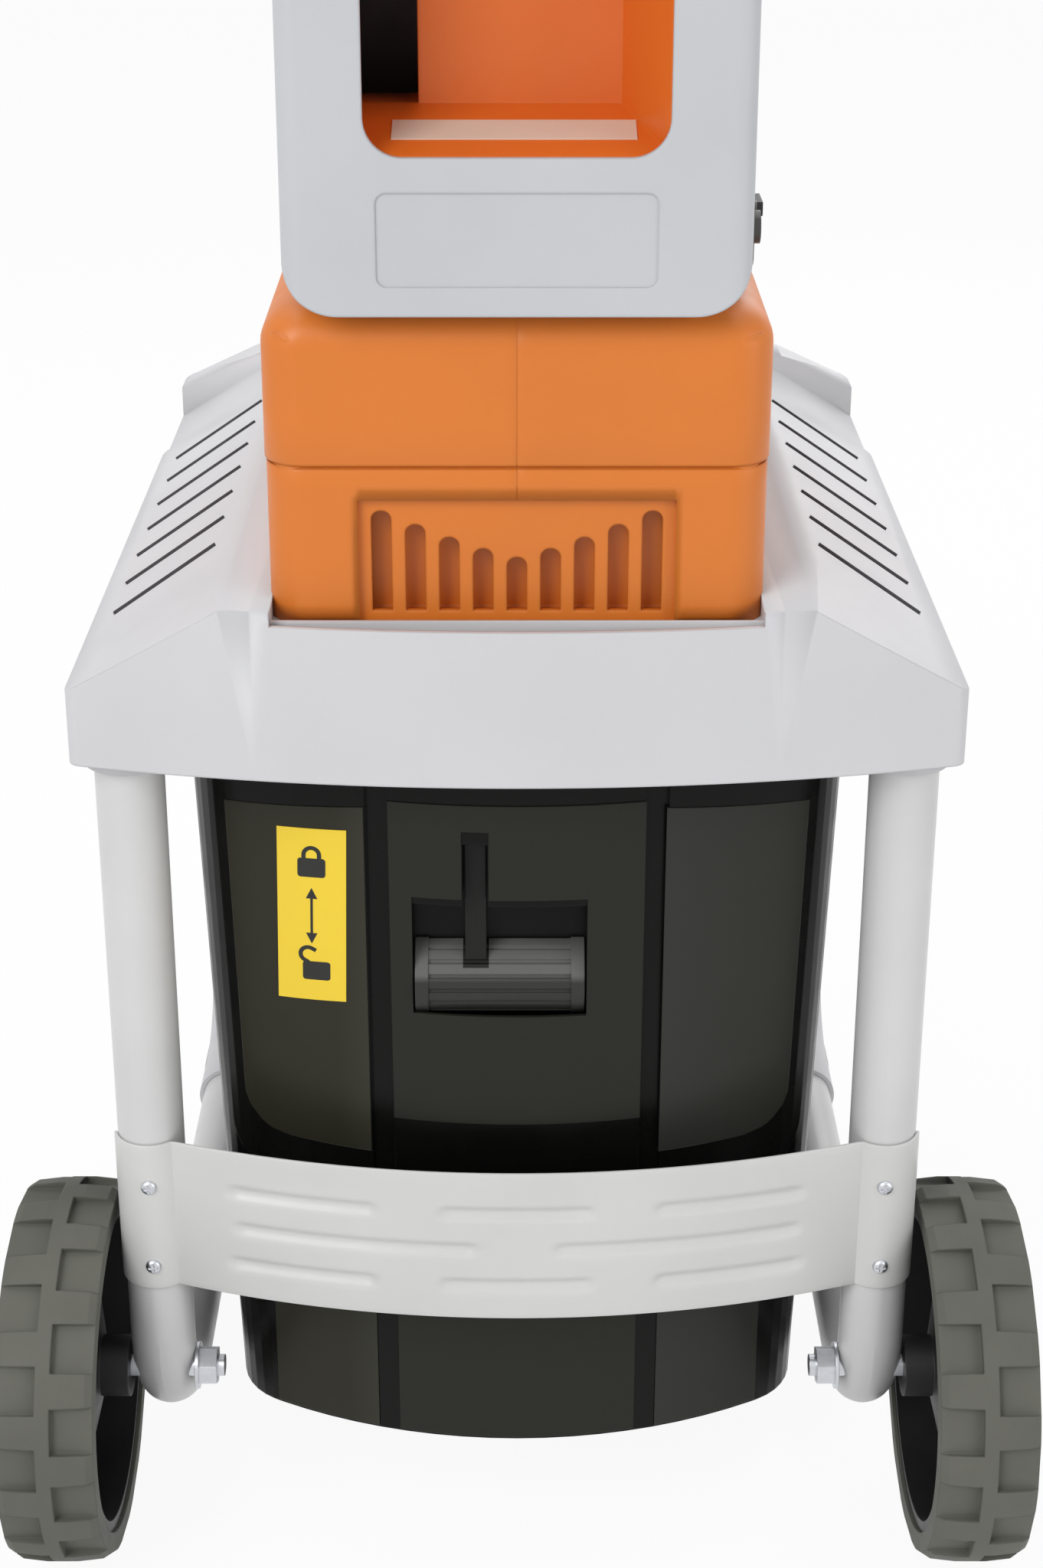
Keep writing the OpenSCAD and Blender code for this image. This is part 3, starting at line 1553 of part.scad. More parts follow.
module push_button(y, d, tint) {
    color(tint)
        rod_x(button_x - control_box + 2 + button_travel + seat, button_x + button_travel + 1, y, control_z, d);
}

module start_button() {
    push_button(start_y, button_d, [0.1, 0.5, 0.2]);
}

module stop_button() {
    push_button(stop_y, button_d, [0.75, 0.1, 0.1]);
}

module reset_button() {
    push_button(reset_y, reset_d, black);
}

module direction_selector() {
    color(black) {
        rod_x(button_x - control_box + 2 + seat, button_x + past, selector_y, control_z, selector_d / 2);
        difference() {
            rod_x(button_x + seat, button_x + 9, selector_y, control_z, selector_d);
            for (s = [-1, 1])
                slab([button_x + 3, button_x + 10], [selector_y - selector_d, selector_y + selector_d],
                    s > 0 ? [control_z + 3.5, control_z + selector_d] : [control_z - selector_d, control_z - 3.5]);
        }
    }
}

// Switch in the keeper that the raised lock rod closes
switch_z = plunger_z + 8;

module safety_switch() {
    color(dark)
        difference() {
            slab([keeper_x[0] + keeper_wall + fit, keeper_x[1] - keeper_wall - fit],
                [keeper_y[0] + keeper_wall + fit, keeper_y[1]], [switch_z, switch_z + 16]);
            rod_z(switch_z - past, switch_z + 10, rod_x, rod_back - rod_t / 2, 5 + 2 * fit);
        }
}

module safety_plunger() {
    color([0.7, 0.15, 0.1])
        rod_z(plunger_z, switch_z + 10 - plunger_travel - seat, rod_x, rod_back - rod_t / 2, 5);
}

frame_tube(-1);  // left_frame_tube
frame_tube(1);  // right_frame_tube
front_cross_panel();
cross_panel_screws();
rear_foot(-1);  // left_rear_foot
rear_foot(1);  // right_rear_foot
axle_bolts();
axle_nuts();
tyre(-1);  // left_tyre
tyre(1);  // right_tyre
rim(-1);  // left_rim
rim(1);  // right_rim
hub_cap(-1);  // left_hub_cap
hub_cap(1);  // right_hub_cap
base_cover();
base_screws();
bin();
lock_slider();
lower_housing();
upper_housing();
hopper_front();
hopper_rear();
hopper_liner();
hopper_screws();
chamber_frame();
cutting_roller();
roller_bearings();
counter_plate();
adjusting_screw();
adjusting_knob();
gearbox_cover();
gearbox_housing();
gearbox_screws();
roller_gear();
layshaft_gear();
motor_stator();
motor_rotor();
motor_fan();
motor_capacitor();
switch_panel();
start_button();
stop_button();
reset_button();
direction_selector();
power_inlet();
safety_switch();
safety_plunger();
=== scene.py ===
# Looks of the garden shredder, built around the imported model. Metres, in the model's own frame.
import bpy
import bmesh
import json
import math
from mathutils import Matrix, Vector
from mathutils.bvhtree import BVHTree


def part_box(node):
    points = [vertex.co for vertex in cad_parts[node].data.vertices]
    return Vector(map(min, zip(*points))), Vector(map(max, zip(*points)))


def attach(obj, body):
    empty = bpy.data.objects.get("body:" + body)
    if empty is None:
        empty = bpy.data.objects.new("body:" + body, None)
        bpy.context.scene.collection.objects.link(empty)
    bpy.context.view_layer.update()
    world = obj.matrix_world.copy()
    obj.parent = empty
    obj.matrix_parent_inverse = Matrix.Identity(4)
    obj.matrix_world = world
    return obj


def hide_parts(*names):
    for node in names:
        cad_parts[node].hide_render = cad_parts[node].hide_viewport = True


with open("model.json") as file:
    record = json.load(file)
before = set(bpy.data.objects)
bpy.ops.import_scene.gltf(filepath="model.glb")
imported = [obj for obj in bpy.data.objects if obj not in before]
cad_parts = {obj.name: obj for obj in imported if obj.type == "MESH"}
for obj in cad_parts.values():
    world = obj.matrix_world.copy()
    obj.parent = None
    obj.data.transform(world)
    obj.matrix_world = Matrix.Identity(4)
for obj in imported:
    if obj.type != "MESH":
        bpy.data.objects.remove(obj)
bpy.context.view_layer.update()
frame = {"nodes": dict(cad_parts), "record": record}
nodes = frame["nodes"]
scene = bpy.context.scene


# Materials
def srgb(r, g, b):
    def lin(v):
        v = v / 255.0
        return v / 12.92 if v <= 0.04045 else ((v + 0.055) / 1.055) ** 2.4
    return (lin(r), lin(g), lin(b), 1.0)


def shade(colour, k):
    return tuple(min(1.0, c * k) for c in colour[:3]) + (1.0,)


class Nodes:
    """Small helper around one material's node tree."""

    def __init__(self, name):
        self.mat = bpy.data.materials.new(name)
        self.mat.use_nodes = True
        self.tree = self.mat.node_tree
        self.bsdf = self.tree.nodes["Principled BSDF"]
        self.coord = self.add("ShaderNodeTexCoord").outputs["Object"]

    def add(self, kind, **values):
        n = self.tree.nodes.new(kind)
        for k, v in values.items():
            setattr(n, k, v)
        return n

    def link(self, a, b):
        self.tree.links.new(a, b)

    def axes(self, source):
        """The X, Y and Z sockets of a vector."""
        split = self.add("ShaderNodeSeparateXYZ")
        self.link(source, split.inputs[0])
        return split.outputs

    def noise(self, scale, detail=3.0, rough=0.5, stretch=None):
        n = self.add("ShaderNodeTexNoise")
        n.inputs["Scale"].default_value = scale
        n.inputs["Detail"].default_value = detail
        n.inputs["Roughness"].default_value = rough
        source = self.coord
        if stretch:
            m = self.add("ShaderNodeMapping")
            m.inputs["Scale"].default_value = stretch
            self.link(source, m.inputs["Vector"])
            source = m.outputs["Vector"]
        self.link(source, n.inputs["Vector"])
        return n.outputs["Fac"]

    def ramp(self, fac, stops):
        r = self.add("ShaderNodeValToRGB")
        e = r.color_ramp.elements
        e[0].position, e[0].color = stops[0]
        e[1].position, e[1].color = stops[-1]
        for pos, col in stops[1:-1]:
            x = e.new(pos)
            x.color = col
        self.link(fac, r.inputs["Fac"])
        return r.outputs["Color"]

    def uneven(self, fac, colour, vary):
        """Colour that swings by vary to either side, led by fac."""
        return self.ramp(fac, [(0.3, shade(colour, 1 - vary)), (0.7, shade(colour, 1 + vary))])

    def span(self, fac, low, high, src_low=0.3, src_high=0.7):
        m = self.add("ShaderNodeMapRange")
        m.inputs["From Min"].default_value = src_low
        m.inputs["From Max"].default_value = src_high
        m.inputs["To Min"].default_value = low
        m.inputs["To Max"].default_value = high
        self.link(fac, m.inputs["Value"])
        return m.outputs["Result"]

    def gloss(self, rough, swing, scale, detail):
        """Roughness that swings slightly over the surface."""
        return self.span(self.noise(scale, detail), rough - swing, rough + swing)

    def product(self, a, b):
        n = self.add("ShaderNodeMath", operation="MULTIPLY")
        self.link(a, n.inputs[0])
        self.link(b, n.inputs[1])
        return n.outputs[0]

    def mixed(self, fac, first, colour):
        """First, a socket, turned into colour by fac."""
        x = self.add("ShaderNodeMix", data_type="RGBA")
        self.link(fac, x.inputs["Factor"])
        self.link(first, x.inputs[6])
        x.inputs[7].default_value = colour
        return x.outputs[2]

    def bump(self, fac, strength, distance, normal=None):
        b = self.add("ShaderNodeBump")
        b.inputs["Strength"].default_value = strength
        b.inputs["Distance"].default_value = distance
        self.link(fac, b.inputs["Height"])
        if normal is not None:
            self.link(normal, b.inputs["Normal"])
        return b.outputs["Normal"]

    def soft_edges(self, radius):
        b = self.add("ShaderNodeBevel")
        b.samples = 6
        b.inputs["Radius"].default_value = radius
        return b.outputs["Normal"]

    def finish(self, colour, rough, normal, shine=0.5):
        """Links the three sockets to the shader, sets its shine and gives the material."""
        self.link(colour, self.bsdf.inputs["Base Color"])
        self.link(rough, self.bsdf.inputs["Roughness"])
        self.link(normal, self.bsdf.inputs["Normal"])
        self.bsdf.inputs["Specular IOR Level"].default_value = shine
        return self.mat


def plastic(name, colour, rough, grain=0.12, grain_scale=1400.0, vary=0.03, edge=0.0008, shine=0.5):
    """Moulded plastic: fine grain, slightly uneven colour and gloss, rounded edges."""
    m = Nodes(name)
    edges = m.soft_edges(edge) if edge else None
    normal = m.bump(m.noise(grain_scale, 2.0), grain, 0.0004, edges)
    return m.finish(m.uneven(m.noise(9.0, 4.0), colour, vary), m.gloss(rough, 0.05, 45.0, 3.0), normal, shine)


def metal(name, colour, rough, streak=0.06, stretch=(1.0, 1.0, 1.0), scale=260.0):
    """Bare or plated metal with fine tool marks."""
    m = Nodes(name)
    m.bsdf.inputs["Metallic"].default_value = 1.0
    marks = m.noise(scale, 4.0, 0.6, stretch)
    normal = m.bump(marks, streak, 0.0003, m.soft_edges(0.0006))
    return m.finish(m.uneven(marks, colour, 0.06), m.gloss(rough, 0.07, 40.0, 3.0), normal)


def paint(name, colour, rough):
    """Powder paint on tube: low orange peel under a soft gloss."""
    m = Nodes(name)
    normal = m.bump(m.noise(420.0, 2.0), 0.08, 0.0006)
    return m.finish(m.uneven(m.noise(14.0, 3.0), colour, 0.03), m.gloss(rough, 0.04, 70.0, 2.0), normal)


def faced(name, colour, side, rough):
    """Push cap: colour on its outer face only, dark flanks."""
    m = Nodes(name)
    facing = m.axes(m.add("ShaderNodeTexCoord").outputs["Normal"])
    tone = m.ramp(facing["X"], [(0.75, side), (0.85, colour)])
    normal = m.bump(m.noise(900.0, 2.0), 0.03, 0.0003, m.soft_edges(0.0008))
    return m.finish(tone, m.gloss(rough, 0.04, 60.0, 2.0), normal)


# Heights of the lock slider and place of its rod, for its colours
LOCK_LOW, LOCK_HIGH = 0.338, 0.438
ROD_X, ROD_HALF = -0.0215, 0.0068
ROD_FOOT_Z, FOOT_BLEND = 0.3720, 0.0002


def lock_plastic(name):
    """Lock slider: pale top bar and end caps, darker ribs below, near-black rod above."""
    m = Nodes(name)
    at = m.axes(m.coord)
    ribs, bar, rod = srgb(52, 52, 49), srgb(100, 100, 98), srgb(17, 17, 16)
    body = m.ramp(m.span(at["Z"], 0.0, 1.0, LOCK_LOW, LOCK_HIGH),
                  [(0.0, ribs), (0.27, ribs), (0.31, bar), (0.452, bar), (0.456, rod), (1.0, rod)])
    on_rod = m.add("ShaderNodeMath", operation="COMPARE")
    m.link(at["X"], on_rod.inputs[0])
    on_rod.inputs[1].default_value = ROD_X
    on_rod.inputs[2].default_value = ROD_HALF
    above = m.span(at["Z"], 0.0, 1.0, ROD_FOOT_Z - FOOT_BLEND, ROD_FOOT_Z + FOOT_BLEND)
    tone = m.mixed(m.product(on_rod.outputs[0], above), body, srgb(26, 26, 25))
    normal = m.bump(m.noise(1200.0, 2.0), 0.08, 0.0003, m.soft_edges(0.0008))
    return m.finish(tone, m.gloss(0.43, 0.05, 60.0, 2.0), normal, 0.2)


def pad_plastic(name):
    """Grained pads of the bin, lighter than the black bin by a painted reflection: a little warmer on the
    left, with a painted highlight along the left pad's inner edge, darker in the middle, greyer on the right.
    """
    m = Nodes(name)
    # Pad colours across x are painted reflection, with a painted highlight near the left pad's inner edge
    across = m.span(m.axes(m.coord)["X"], 0.0, 1.0, -0.16, 0.16)
    left, mid, right = srgb(46, 45, 36), srgb(39, 39, 34), srgb(52, 52, 49)
    tone = m.ramp(across, [(0.0, left), (0.2, left), (0.27, srgb(56, 56, 48)), (0.275, mid), (0.72, mid),
                           (0.74, right), (1.0, srgb(45, 45, 40))])
    normal = m.bump(m.noise(1400.0, 2.0), 0.08, 0.0003, m.soft_edges(0.0012))
    return m.finish(tone, m.gloss(0.35, 0.05, 30.0, 3.0), normal, 0.14)


# Where the funnel turns into the feed duct, in x and in y; over these spans the painted shade of the duct
# fades in
DUCT_X = (-0.052, -0.044)
DUCT_Y = (-0.19, -0.14)


def liner_plastic(name, colour, deep):
    """Funnel plastic, darker down in the feed duct by painted shade."""
    m = Nodes(name)
    at = m.axes(m.coord)
    # deep is a dark colour painted as shade down in the duct, and inside is how much of it shows
    inside = m.product(m.span(at["X"], 1.0, 0.0, *DUCT_X), m.span(at["Y"], 0.0, 1.0, *DUCT_Y))
    tone = m.mixed(inside, m.uneven(m.noise(9.0, 4.0), colour, 0.03), deep)
    normal = m.bump(m.noise(1400.0, 2.0), 0.1, 0.0004, m.soft_edges(0.0012))
    return m.finish(tone, m.gloss(0.43, 0.05, 45.0, 3.0), normal)


DARK = srgb(74, 74, 72)

grey_shell = plastic("grey_shell", srgb(203, 203, 206), 0.46, edge=0.0016)
# Darker grey for the louvre slot walls: painted shade, the cover's own grey plastic as it looks in shadow
slot_painted_shade = plastic("slot_painted_shade", srgb(92, 92, 96), 0.6, edge=0.0, shine=0.2)
hopper_shell = plastic("hopper_shell", srgb(190, 192, 196), 0.46, edge=0.0022)
orange_shell = plastic("orange_shell", srgb(213, 117, 35), 0.44, edge=0.002)
# Its second colour is painted shade down in the feed duct
orange_liner = liner_plastic("orange_liner", srgb(216, 108, 34), srgb(44, 26, 12))
bin_black = plastic("bin_black", srgb(13, 13, 12), 0.28, grain=0.05, vary=0.1, edge=0.0015, shine=0.13)
# Pad colour: painted reflection that makes the pads read lighter than the black bin
pad_grain_and_sheen = pad_plastic("pad_grain_and_sheen")
tread = plastic("tread_rubber", srgb(92, 92, 85), 0.72, grain=0.3, grain_scale=700.0, vary=0.1, edge=0.0015)
rim_black = plastic("rim_black", srgb(30, 30, 30), 0.5, vary=0.08)
dark_plastic = plastic("dark_plastic", DARK, 0.5, vary=0.06)
inlet_black = plastic("inlet_black", srgb(28, 28, 28), 0.45, vary=0.08)
green_cap = faced("green_cap", srgb(40, 130, 66), DARK, 0.3)
red_cap = faced("red_cap", srgb(186, 32, 28), DARK, 0.3)
lock_dark = lock_plastic("lock_dark")
can_grey = plastic("can_grey", srgb(205, 205, 200), 0.4)
tube_paint = paint("tube_paint", srgb(206, 206, 206), 0.33)
panel_paint = paint("panel_paint", srgb(205, 205, 204), 0.36)
label_yellow = plastic("label_yellow", srgb(240, 206, 44), 0.35, grain=0.02, edge=0.0)
label_black = plastic("label_black", srgb(22, 22, 20), 0.4, grain=0.02, edge=0.0)
strip_pale = plastic("strip_pale", srgb(214, 200, 184), 0.4, grain=0.02, vary=0.05, edge=0.0)
zinc = metal("zinc", srgb(205, 207, 212), 0.3)
tool_steel = metal("tool_steel", srgb(172, 172, 176), 0.36, 0.12, (1.0, 6.0, 1.0))
gear_steel = metal("gear_steel", srgb(150, 150, 152), 0.3, 0.08, (8.0, 1.0, 1.0))
cast_alloy = metal("cast_alloy", srgb(176, 178, 180), 0.52, 0.5, scale=420.0)
motor_iron = metal("motor_iron", srgb(108, 110, 116), 0.55, 0.4, scale=380.0)

# Material of each slot, and of the nodes that differ from their slot
FINISH = {
    "tube_grey": tube_paint, "shell_grey": grey_shell, "shell_orange": orange_shell, "bin_black": bin_black,
    "tread_grey": tread, "rim_black": rim_black, "dark_plastic": dark_plastic, "zinc_steel": zinc,
    "tool_steel": tool_steel, "gear_steel": gear_steel, "cast_alloy": cast_alloy, "motor_iron": motor_iron,
    "can_grey": can_grey, "start_green": green_cap, "stop_red": red_cap,
}
OWN = {"hopper_liner": orange_liner, "power_inlet": inlet_black, "reset_button": inlet_black,
       "direction_selector": inlet_black, "lock_slider": lock_dark,
       "hopper_front": hopper_shell, "hopper_rear": hopper_shell}

slot_of = {p["node"]: p["material_slot"] for p in frame["record"]["subparts"]}
for name, obj in nodes.items():
    obj.data.materials.clear()
    obj.data.materials.append(OWN.get(name, FINISH[slot_of[name]]))

# Helpers for pieces
SHARP = 32.0


def smooth_faces(mesh, sharp):
    """Smooth shading, with edges sharper than sharp degrees kept hard."""
    for poly in mesh.polygons:
        poly.use_smooth = True
    mesh.set_sharp_from_angle(angle=math.radians(sharp))


def add_piece(name, bm, mat, body, replaced=(), sharp=SHARP):
    mesh = bpy.data.meshes.new(name)
    bmesh.ops.recalc_face_normals(bm, faces=bm.faces)
    bm.to_mesh(mesh)
    bm.free()
    smooth_faces(mesh, sharp)
    mesh.materials.append(mat)
    obj = bpy.data.objects.new(name, mesh)
    scene.collection.objects.link(obj)
    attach(obj, body)
    if replaced:
        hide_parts(*replaced)
    return obj


def loft(bm, loops):
    """Joins closed loops of equal length into a skin with both ends closed."""
    rows = [[bm.verts.new(v) for v in loop] for loop in loops]
    n = len(rows[0])
    for a, b in zip(rows, rows[1:]):
        for i in range(n):
            j = (i + 1) % n
            bm.faces.new((a[i], a[j], b[j], b[i]))
    bm.faces.new(list(reversed(rows[0])))
    bm.faces.new(rows[-1])


def sheet(bm, grid):
    """Faces over a grid of vertices."""
    for a, b in zip(grid, grid[1:]):
        for i in range(len(a) - 1):
            bm.faces.new((a[i], a[i + 1], b[i + 1], b[i]))


def backed(bm, step):
    """Gives an open sheet a back, moved by step from its front, and closed edges."""
    front = bm.verts[:] + bm.edges[:] + bm.faces[:]
    back = bmesh.ops.extrude_face_region(bm, geom=front, use_keep_orig=True)["geom"]
    for v in (g for g in back if isinstance(g, bmesh.types.BMVert)):
        v.co += step


def tree_of(name):
    return BVHTree.FromObject(nodes[name], bpy.context.evaluated_depsgraph_get())


def smooth(t):
    t = min(1.0, max(0.0, t))
    return t * t * (3.0 - 2.0 * t)


# Base cover: its leg sockets end just under the skirt, its louvre slots are wider and their walls are painted
# a darker grey as shade
COVER_TOP, PLATEAU_HALF, ROOF_TAN = 0.581, 0.145, 51.0 / 82.5
SOCKET_END = 0.4845
SLOT_X = (0.1585, 0.2175)
SLOT_DEPTH = (0.0002, 0.0040)
SLOT_WIDEN = 0.0016
SLOT_SQUARE, SLOT_SIDE = 0.5, 0.8
WELD = 0.000002


def in_slot(centre, normal):
    """Whether a face is a wall of a louvre slot: in the roof's thickness and square to the roof."""
    slope = math.atan(ROOF_TAN)
    below = COVER_TOP - (abs(centre.x) - PLATEAU_HALF) * ROOF_TAN - centre.z
    flat = abs(abs(normal.x) * math.sin(slope) + normal.z * math.cos(slope))
    inside = SLOT_X[0] < abs(centre.x) < SLOT_X[1] and SLOT_DEPTH[0] < below < SLOT_DEPTH[1]
    return inside and flat < SLOT_SQUARE


def base_cover():
    bm = bmesh.new()
    bm.from_mesh(nodes["base_cover"].data)
    bmesh.ops.remove_doubles(bm, verts=bm.verts[:], dist=WELD)
    everything = bm.verts[:] + bm.edges[:] + bm.faces[:]
    cut = bmesh.ops.bisect_plane(bm, geom=everything, plane_co=(0.0, 0.0, SOCKET_END),
                                 plane_no=(0.0, 0.0, 1.0), clear_inner=True)
    edges = [e for e in cut["geom_cut"] if isinstance(e, bmesh.types.BMEdge)]
    bmesh.ops.triangle_fill(bm, use_beauty=True, edges=edges)
    bm.normal_update()
    moves = {}
    for face in bm.faces:
        if abs(face.normal.y) > SLOT_SIDE and in_slot(face.calc_center_median(), face.normal):
            for v in face.verts:
                moves[v] = face.normal * -SLOT_WIDEN
    for v, step in moves.items():
        v.co += step
    piece = add_piece("look_base_cover", bm, grey_shell, "base", ("base_cover",))
    # The slot walls take the painted shade material
    piece.data.materials.append(slot_painted_shade)
    for poly in piece.data.polygons:
        if in_slot(poly.center, poly.normal):
            poly.material_index = 1


base_cover()

# Orange housing: rounder and wider skins over the two shells, the lower one open over the vents
HOUSING_LOW, HOUSING_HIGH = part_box("upper_housing")
FRONT_OUT, REAR_IN = 0.0010, 0.0006
SKIN_FRONT, SKIN_REAR = HOUSING_LOW[1] - FRONT_OUT, HOUSING_HIGH[1] - REAR_IN
SEAM_Z = HOUSING_LOW[2]
SEAM_INSET, SEAM_REACH = 0.0005, 0.001
UPPER_HALF, LOWER_HALF = 0.1230, 0.1222
SKIN_CORNER, CORNER_SHRINK = 0.0205, 0.45
SHOULDER, SKIN_TOP = 0.018, 0.7272
LEDGE_X, LEDGE_FRONT, LEDGE_REAR = 0.1, 0.03, 0.025
LOWER_RINGS = (0.5665, 0.58, 0.6, 0.62)
WINDOW_X, WINDOW_Z, WINDOW_REACH = 0.0772, 0.6345, 0.004
WINDOW_STEP = WINDOW_X / (LOWER_HALF - SKIN_CORNER)
LINE_STEP, LINE_DEPTH = 0.008, 0.0004
FRONT_STEPS = sorted({i / 20.0 for i in range(-20, 21)}
                     | {-LINE_STEP, LINE_STEP, -WINDOW_STEP, WINDOW_STEP})
CORNER_STEPS, REAR_STEPS, SHOULDER_STEPS = 11, 12, 10
SKIN_WALL = 0.0007
SKIN_WELD = 0.00005


def housing_ring(half, inset, z):
    """Rounded rectangle at height z, pulled in by inset, with a faint line in the middle of its front."""
    x1, y0, y1 = half - inset, SKIN_FRONT + inset, SKIN_REAR - inset
    r = SKIN_CORNER - inset * CORNER_SHRINK
    flat = x1 - r
    ring = [(f * flat, y0 + (LINE_DEPTH if f == 0.0 else 0.0), z) for f in FRONT_STEPS]
    corners = ((flat, y0 + r, -90.0), (flat, y1 - r, 0.0), (-flat, y1 - r, 90.0), (-flat, y0 + r, 180.0))
    for cx, cy, start in corners:
        for k in range(1, CORNER_STEPS + 1):
            a = math.radians(start + 90.0 * k / CORNER_STEPS)
            ring.append((cx + r * math.cos(a), cy + r * math.sin(a), z))
        if start == 0.0:
            ring += [(flat - 2.0 * flat * i / REAR_STEPS, y1, z) for i in range(1, REAR_STEPS)]
    return ring[:-1]


def seam_inset(z):
    return SEAM_INSET if abs(z - SEAM_Z) < SEAM_REACH else 0.0


def in_window(p):
    return abs(p.x) < WINDOW_X and p.y < SKIN_FRONT + WINDOW_REACH and p.z < WINDOW_Z


def skin_piece(name, rings, window):
    bm = bmesh.new()
    rows = [[bm.verts.new(v) for v in ring] for ring in rings]
    n = len(rows[0])
    for low, high in zip(rows, rows[1:]):
        for i in range(n):
            j = (i + 1) % n
            mid = (low[i].co + low[j].co + high[i].co + high[j].co) / 4.0
            if not (window and in_window(mid)):
                bm.faces.new((low[i], low[j], high[j], high[i]))
    bmesh.ops.remove_doubles(bm, verts=bm.verts[:], dist=SKIN_WELD)
    obj = add_piece(name, bm, orange_shell, "base", sharp=40.0)
    wall = obj.modifiers.new("wall", "SOLIDIFY")
    wall.thickness = SKIN_WALL
    wall.offset = -1.0


def housing_skins():
    straight = (SEAM_Z + 0.0003, SEAM_Z + 0.0012, SEAM_Z + 0.02, SEAM_Z + 0.04, SKIN_TOP - SHOULDER)
    rings = [housing_ring(UPPER_HALF, seam_inset(z), z) for z in straight]
    for k in range(1, SHOULDER_STEPS + 1):
        a = math.pi / 2.0 * k / SHOULDER_STEPS
        z = SKIN_TOP - SHOULDER + SHOULDER * math.sin(a)
        rings.append(housing_ring(UPPER_HALF, SHOULDER * (1.0 - math.cos(a)), z))
    ledge = []
    for x, y, _ in rings[-1]:
        inner_y = min(LEDGE_REAR, max(SKIN_FRONT + LEDGE_FRONT, y))
        ledge.append((min(LEDGE_X, max(-LEDGE_X, x)), inner_y, SKIN_TOP))
    skin_piece("look_upper_housing", rings + [ledge], False)
    heights = LOWER_RINGS + (WINDOW_Z, 0.642, SEAM_Z - 0.0012, SEAM_Z - 0.0003)
    skin_piece("look_lower_housing", [housing_ring(LOWER_HALF, seam_inset(z), z) for z in heights], True)


housing_skins()

# Cross panel: one sheet wrapped round the legs' fronts, with pressed beads
LEG_X, LEG_Y, TUBE_R = 0.200, -0.185, 0.018
SHEET = 0.0019
PANEL_Z = (0.171, 0.263)
PANEL_GAP = 0.0001
BOW_Y = -0.2315
CREASE, WRAP_END = math.radians(40.0), math.radians(-78.0)
WRAP_STEPS, BOW_STEPS, EDGE_STEPS = 21, 76, 6
EDGE_MARGIN, COARSE_STEP, BEAD_STEP = 0.004, 0.003, 0.0013
OUTER_SPANS = ((-0.159, -0.073), (-0.044, 0.044), (0.072, 0.158))
MIDDLE_SPANS = ((-0.156, -0.018), (0.018, 0.156))
BEAD_ROWS = [(0.1922, OUTER_SPANS), (0.2148, MIDDLE_SPANS), (0.2375, OUTER_SPANS)]
BEAD_HALF, BEAD_DEPTH, BEAD_END = 0.0058, 0.0031, 0.008


def bead(x, z):
    """Depth of the pressed beads at a place on the panel."""
    deep = 0.0
    for mid, spans in BEAD_ROWS:
        across = abs(z - mid) / BEAD_HALF
        if across < 1.0:
            rise = math.cos(across * math.pi / 2.0) ** 2
            for x0, x1 in spans:
                ends = smooth((x - x0) / BEAD_END) * smooth((x1 - x) / BEAD_END)
                deep = max(deep, rise * ends)
    return BEAD_DEPTH * deep


def panel_plan():
    """Front line of the sheet in plan, with its outward normal, from the left end to the right end."""
    wrap = TUBE_R + PANEL_GAP + SHEET
    cx = -LEG_X + wrap * math.sin(CREASE)
    cy = LEG_Y - wrap * math.cos(CREASE)
    bow = cy - BOW_Y
    radius = (cx * cx + bow * bow) / (2.0 * bow)
    half = []
    for i in range(WRAP_STEPS + 1):
        t = WRAP_END + (CREASE - WRAP_END) * i / WRAP_STEPS
        half.append((-LEG_X + wrap * math.sin(t), LEG_Y - wrap * math.cos(t), math.sin(t), -math.cos(t)))
    reach = math.asin(-cx / radius)
    for i in range(1, BOW_STEPS + 1):
        t = -reach + reach * i / BOW_STEPS
        half.append((radius * math.sin(t), BOW_Y + radius - radius * math.cos(t), math.sin(t), -math.cos(t)))
    return half + [(-x, y, -nx, ny) for x, y, nx, ny in reversed(half[:-1])]


def panel_heights():
    """Heights of the sheet's points, closer together at the beads."""
    z0, z1 = PANEL_Z
    heights = [z0 + SHEET / 2.0]
    z = z0 + EDGE_MARGIN
    while z < z1 - EDGE_MARGIN:
        heights.append(z)
        near = any(abs(z - mid) < BEAD_HALF + 0.001 for mid, _ in BEAD_ROWS)
        z += BEAD_STEP if near else COARSE_STEP
    return heights + [z1 - SHEET / 2.0]


def cross_panel():
    bm = bmesh.new()
    z0, z1 = PANEL_Z
    r = SHEET / 2.0
    heights = panel_heights()
    turns = [math.pi * k / EDGE_STEPS for k in range(1, EDGE_STEPS)]
    loops = []
    for x, y, nx, ny in panel_plan():
        section = [(bead(x, z), z) for z in heights]
        section += [(r - r * math.cos(a), z1 - r + r * math.sin(a)) for a in turns]
        section += [(bead(x, z) + SHEET, z) for z in reversed(heights)]
        section += [(r + r * math.cos(a), z0 + r - r * math.sin(a)) for a in turns]
        loops.append([(x - nx * d, y - ny * d, z) for d, z in section])
    loft(bm, loops)
    add_piece("look_cross_panel", bm, panel_paint, "base", ("front_cross_panel",), 50.0)


cross_panel()

# Pan-head screws with a cross recess on the panel's ends
SCREW_Z = (0.186, 0.237)
HEAD_R, HEAD_TIP_R, HEAD_RISE, HEAD_LIFT, HEAD_DEEP = 0.0044, 0.0012, 0.0026, 0.0004, 0.008
HEAD_DOME, HEAD_FLAT = 0.62, 0.38
HEAD_SIDES, HEAD_STEPS = 32, 6
ARM_LONG, ARM_HALF, ARM_SINK, ARM_OUT = 0.0026, 0.00055, 0.0011, 0.001


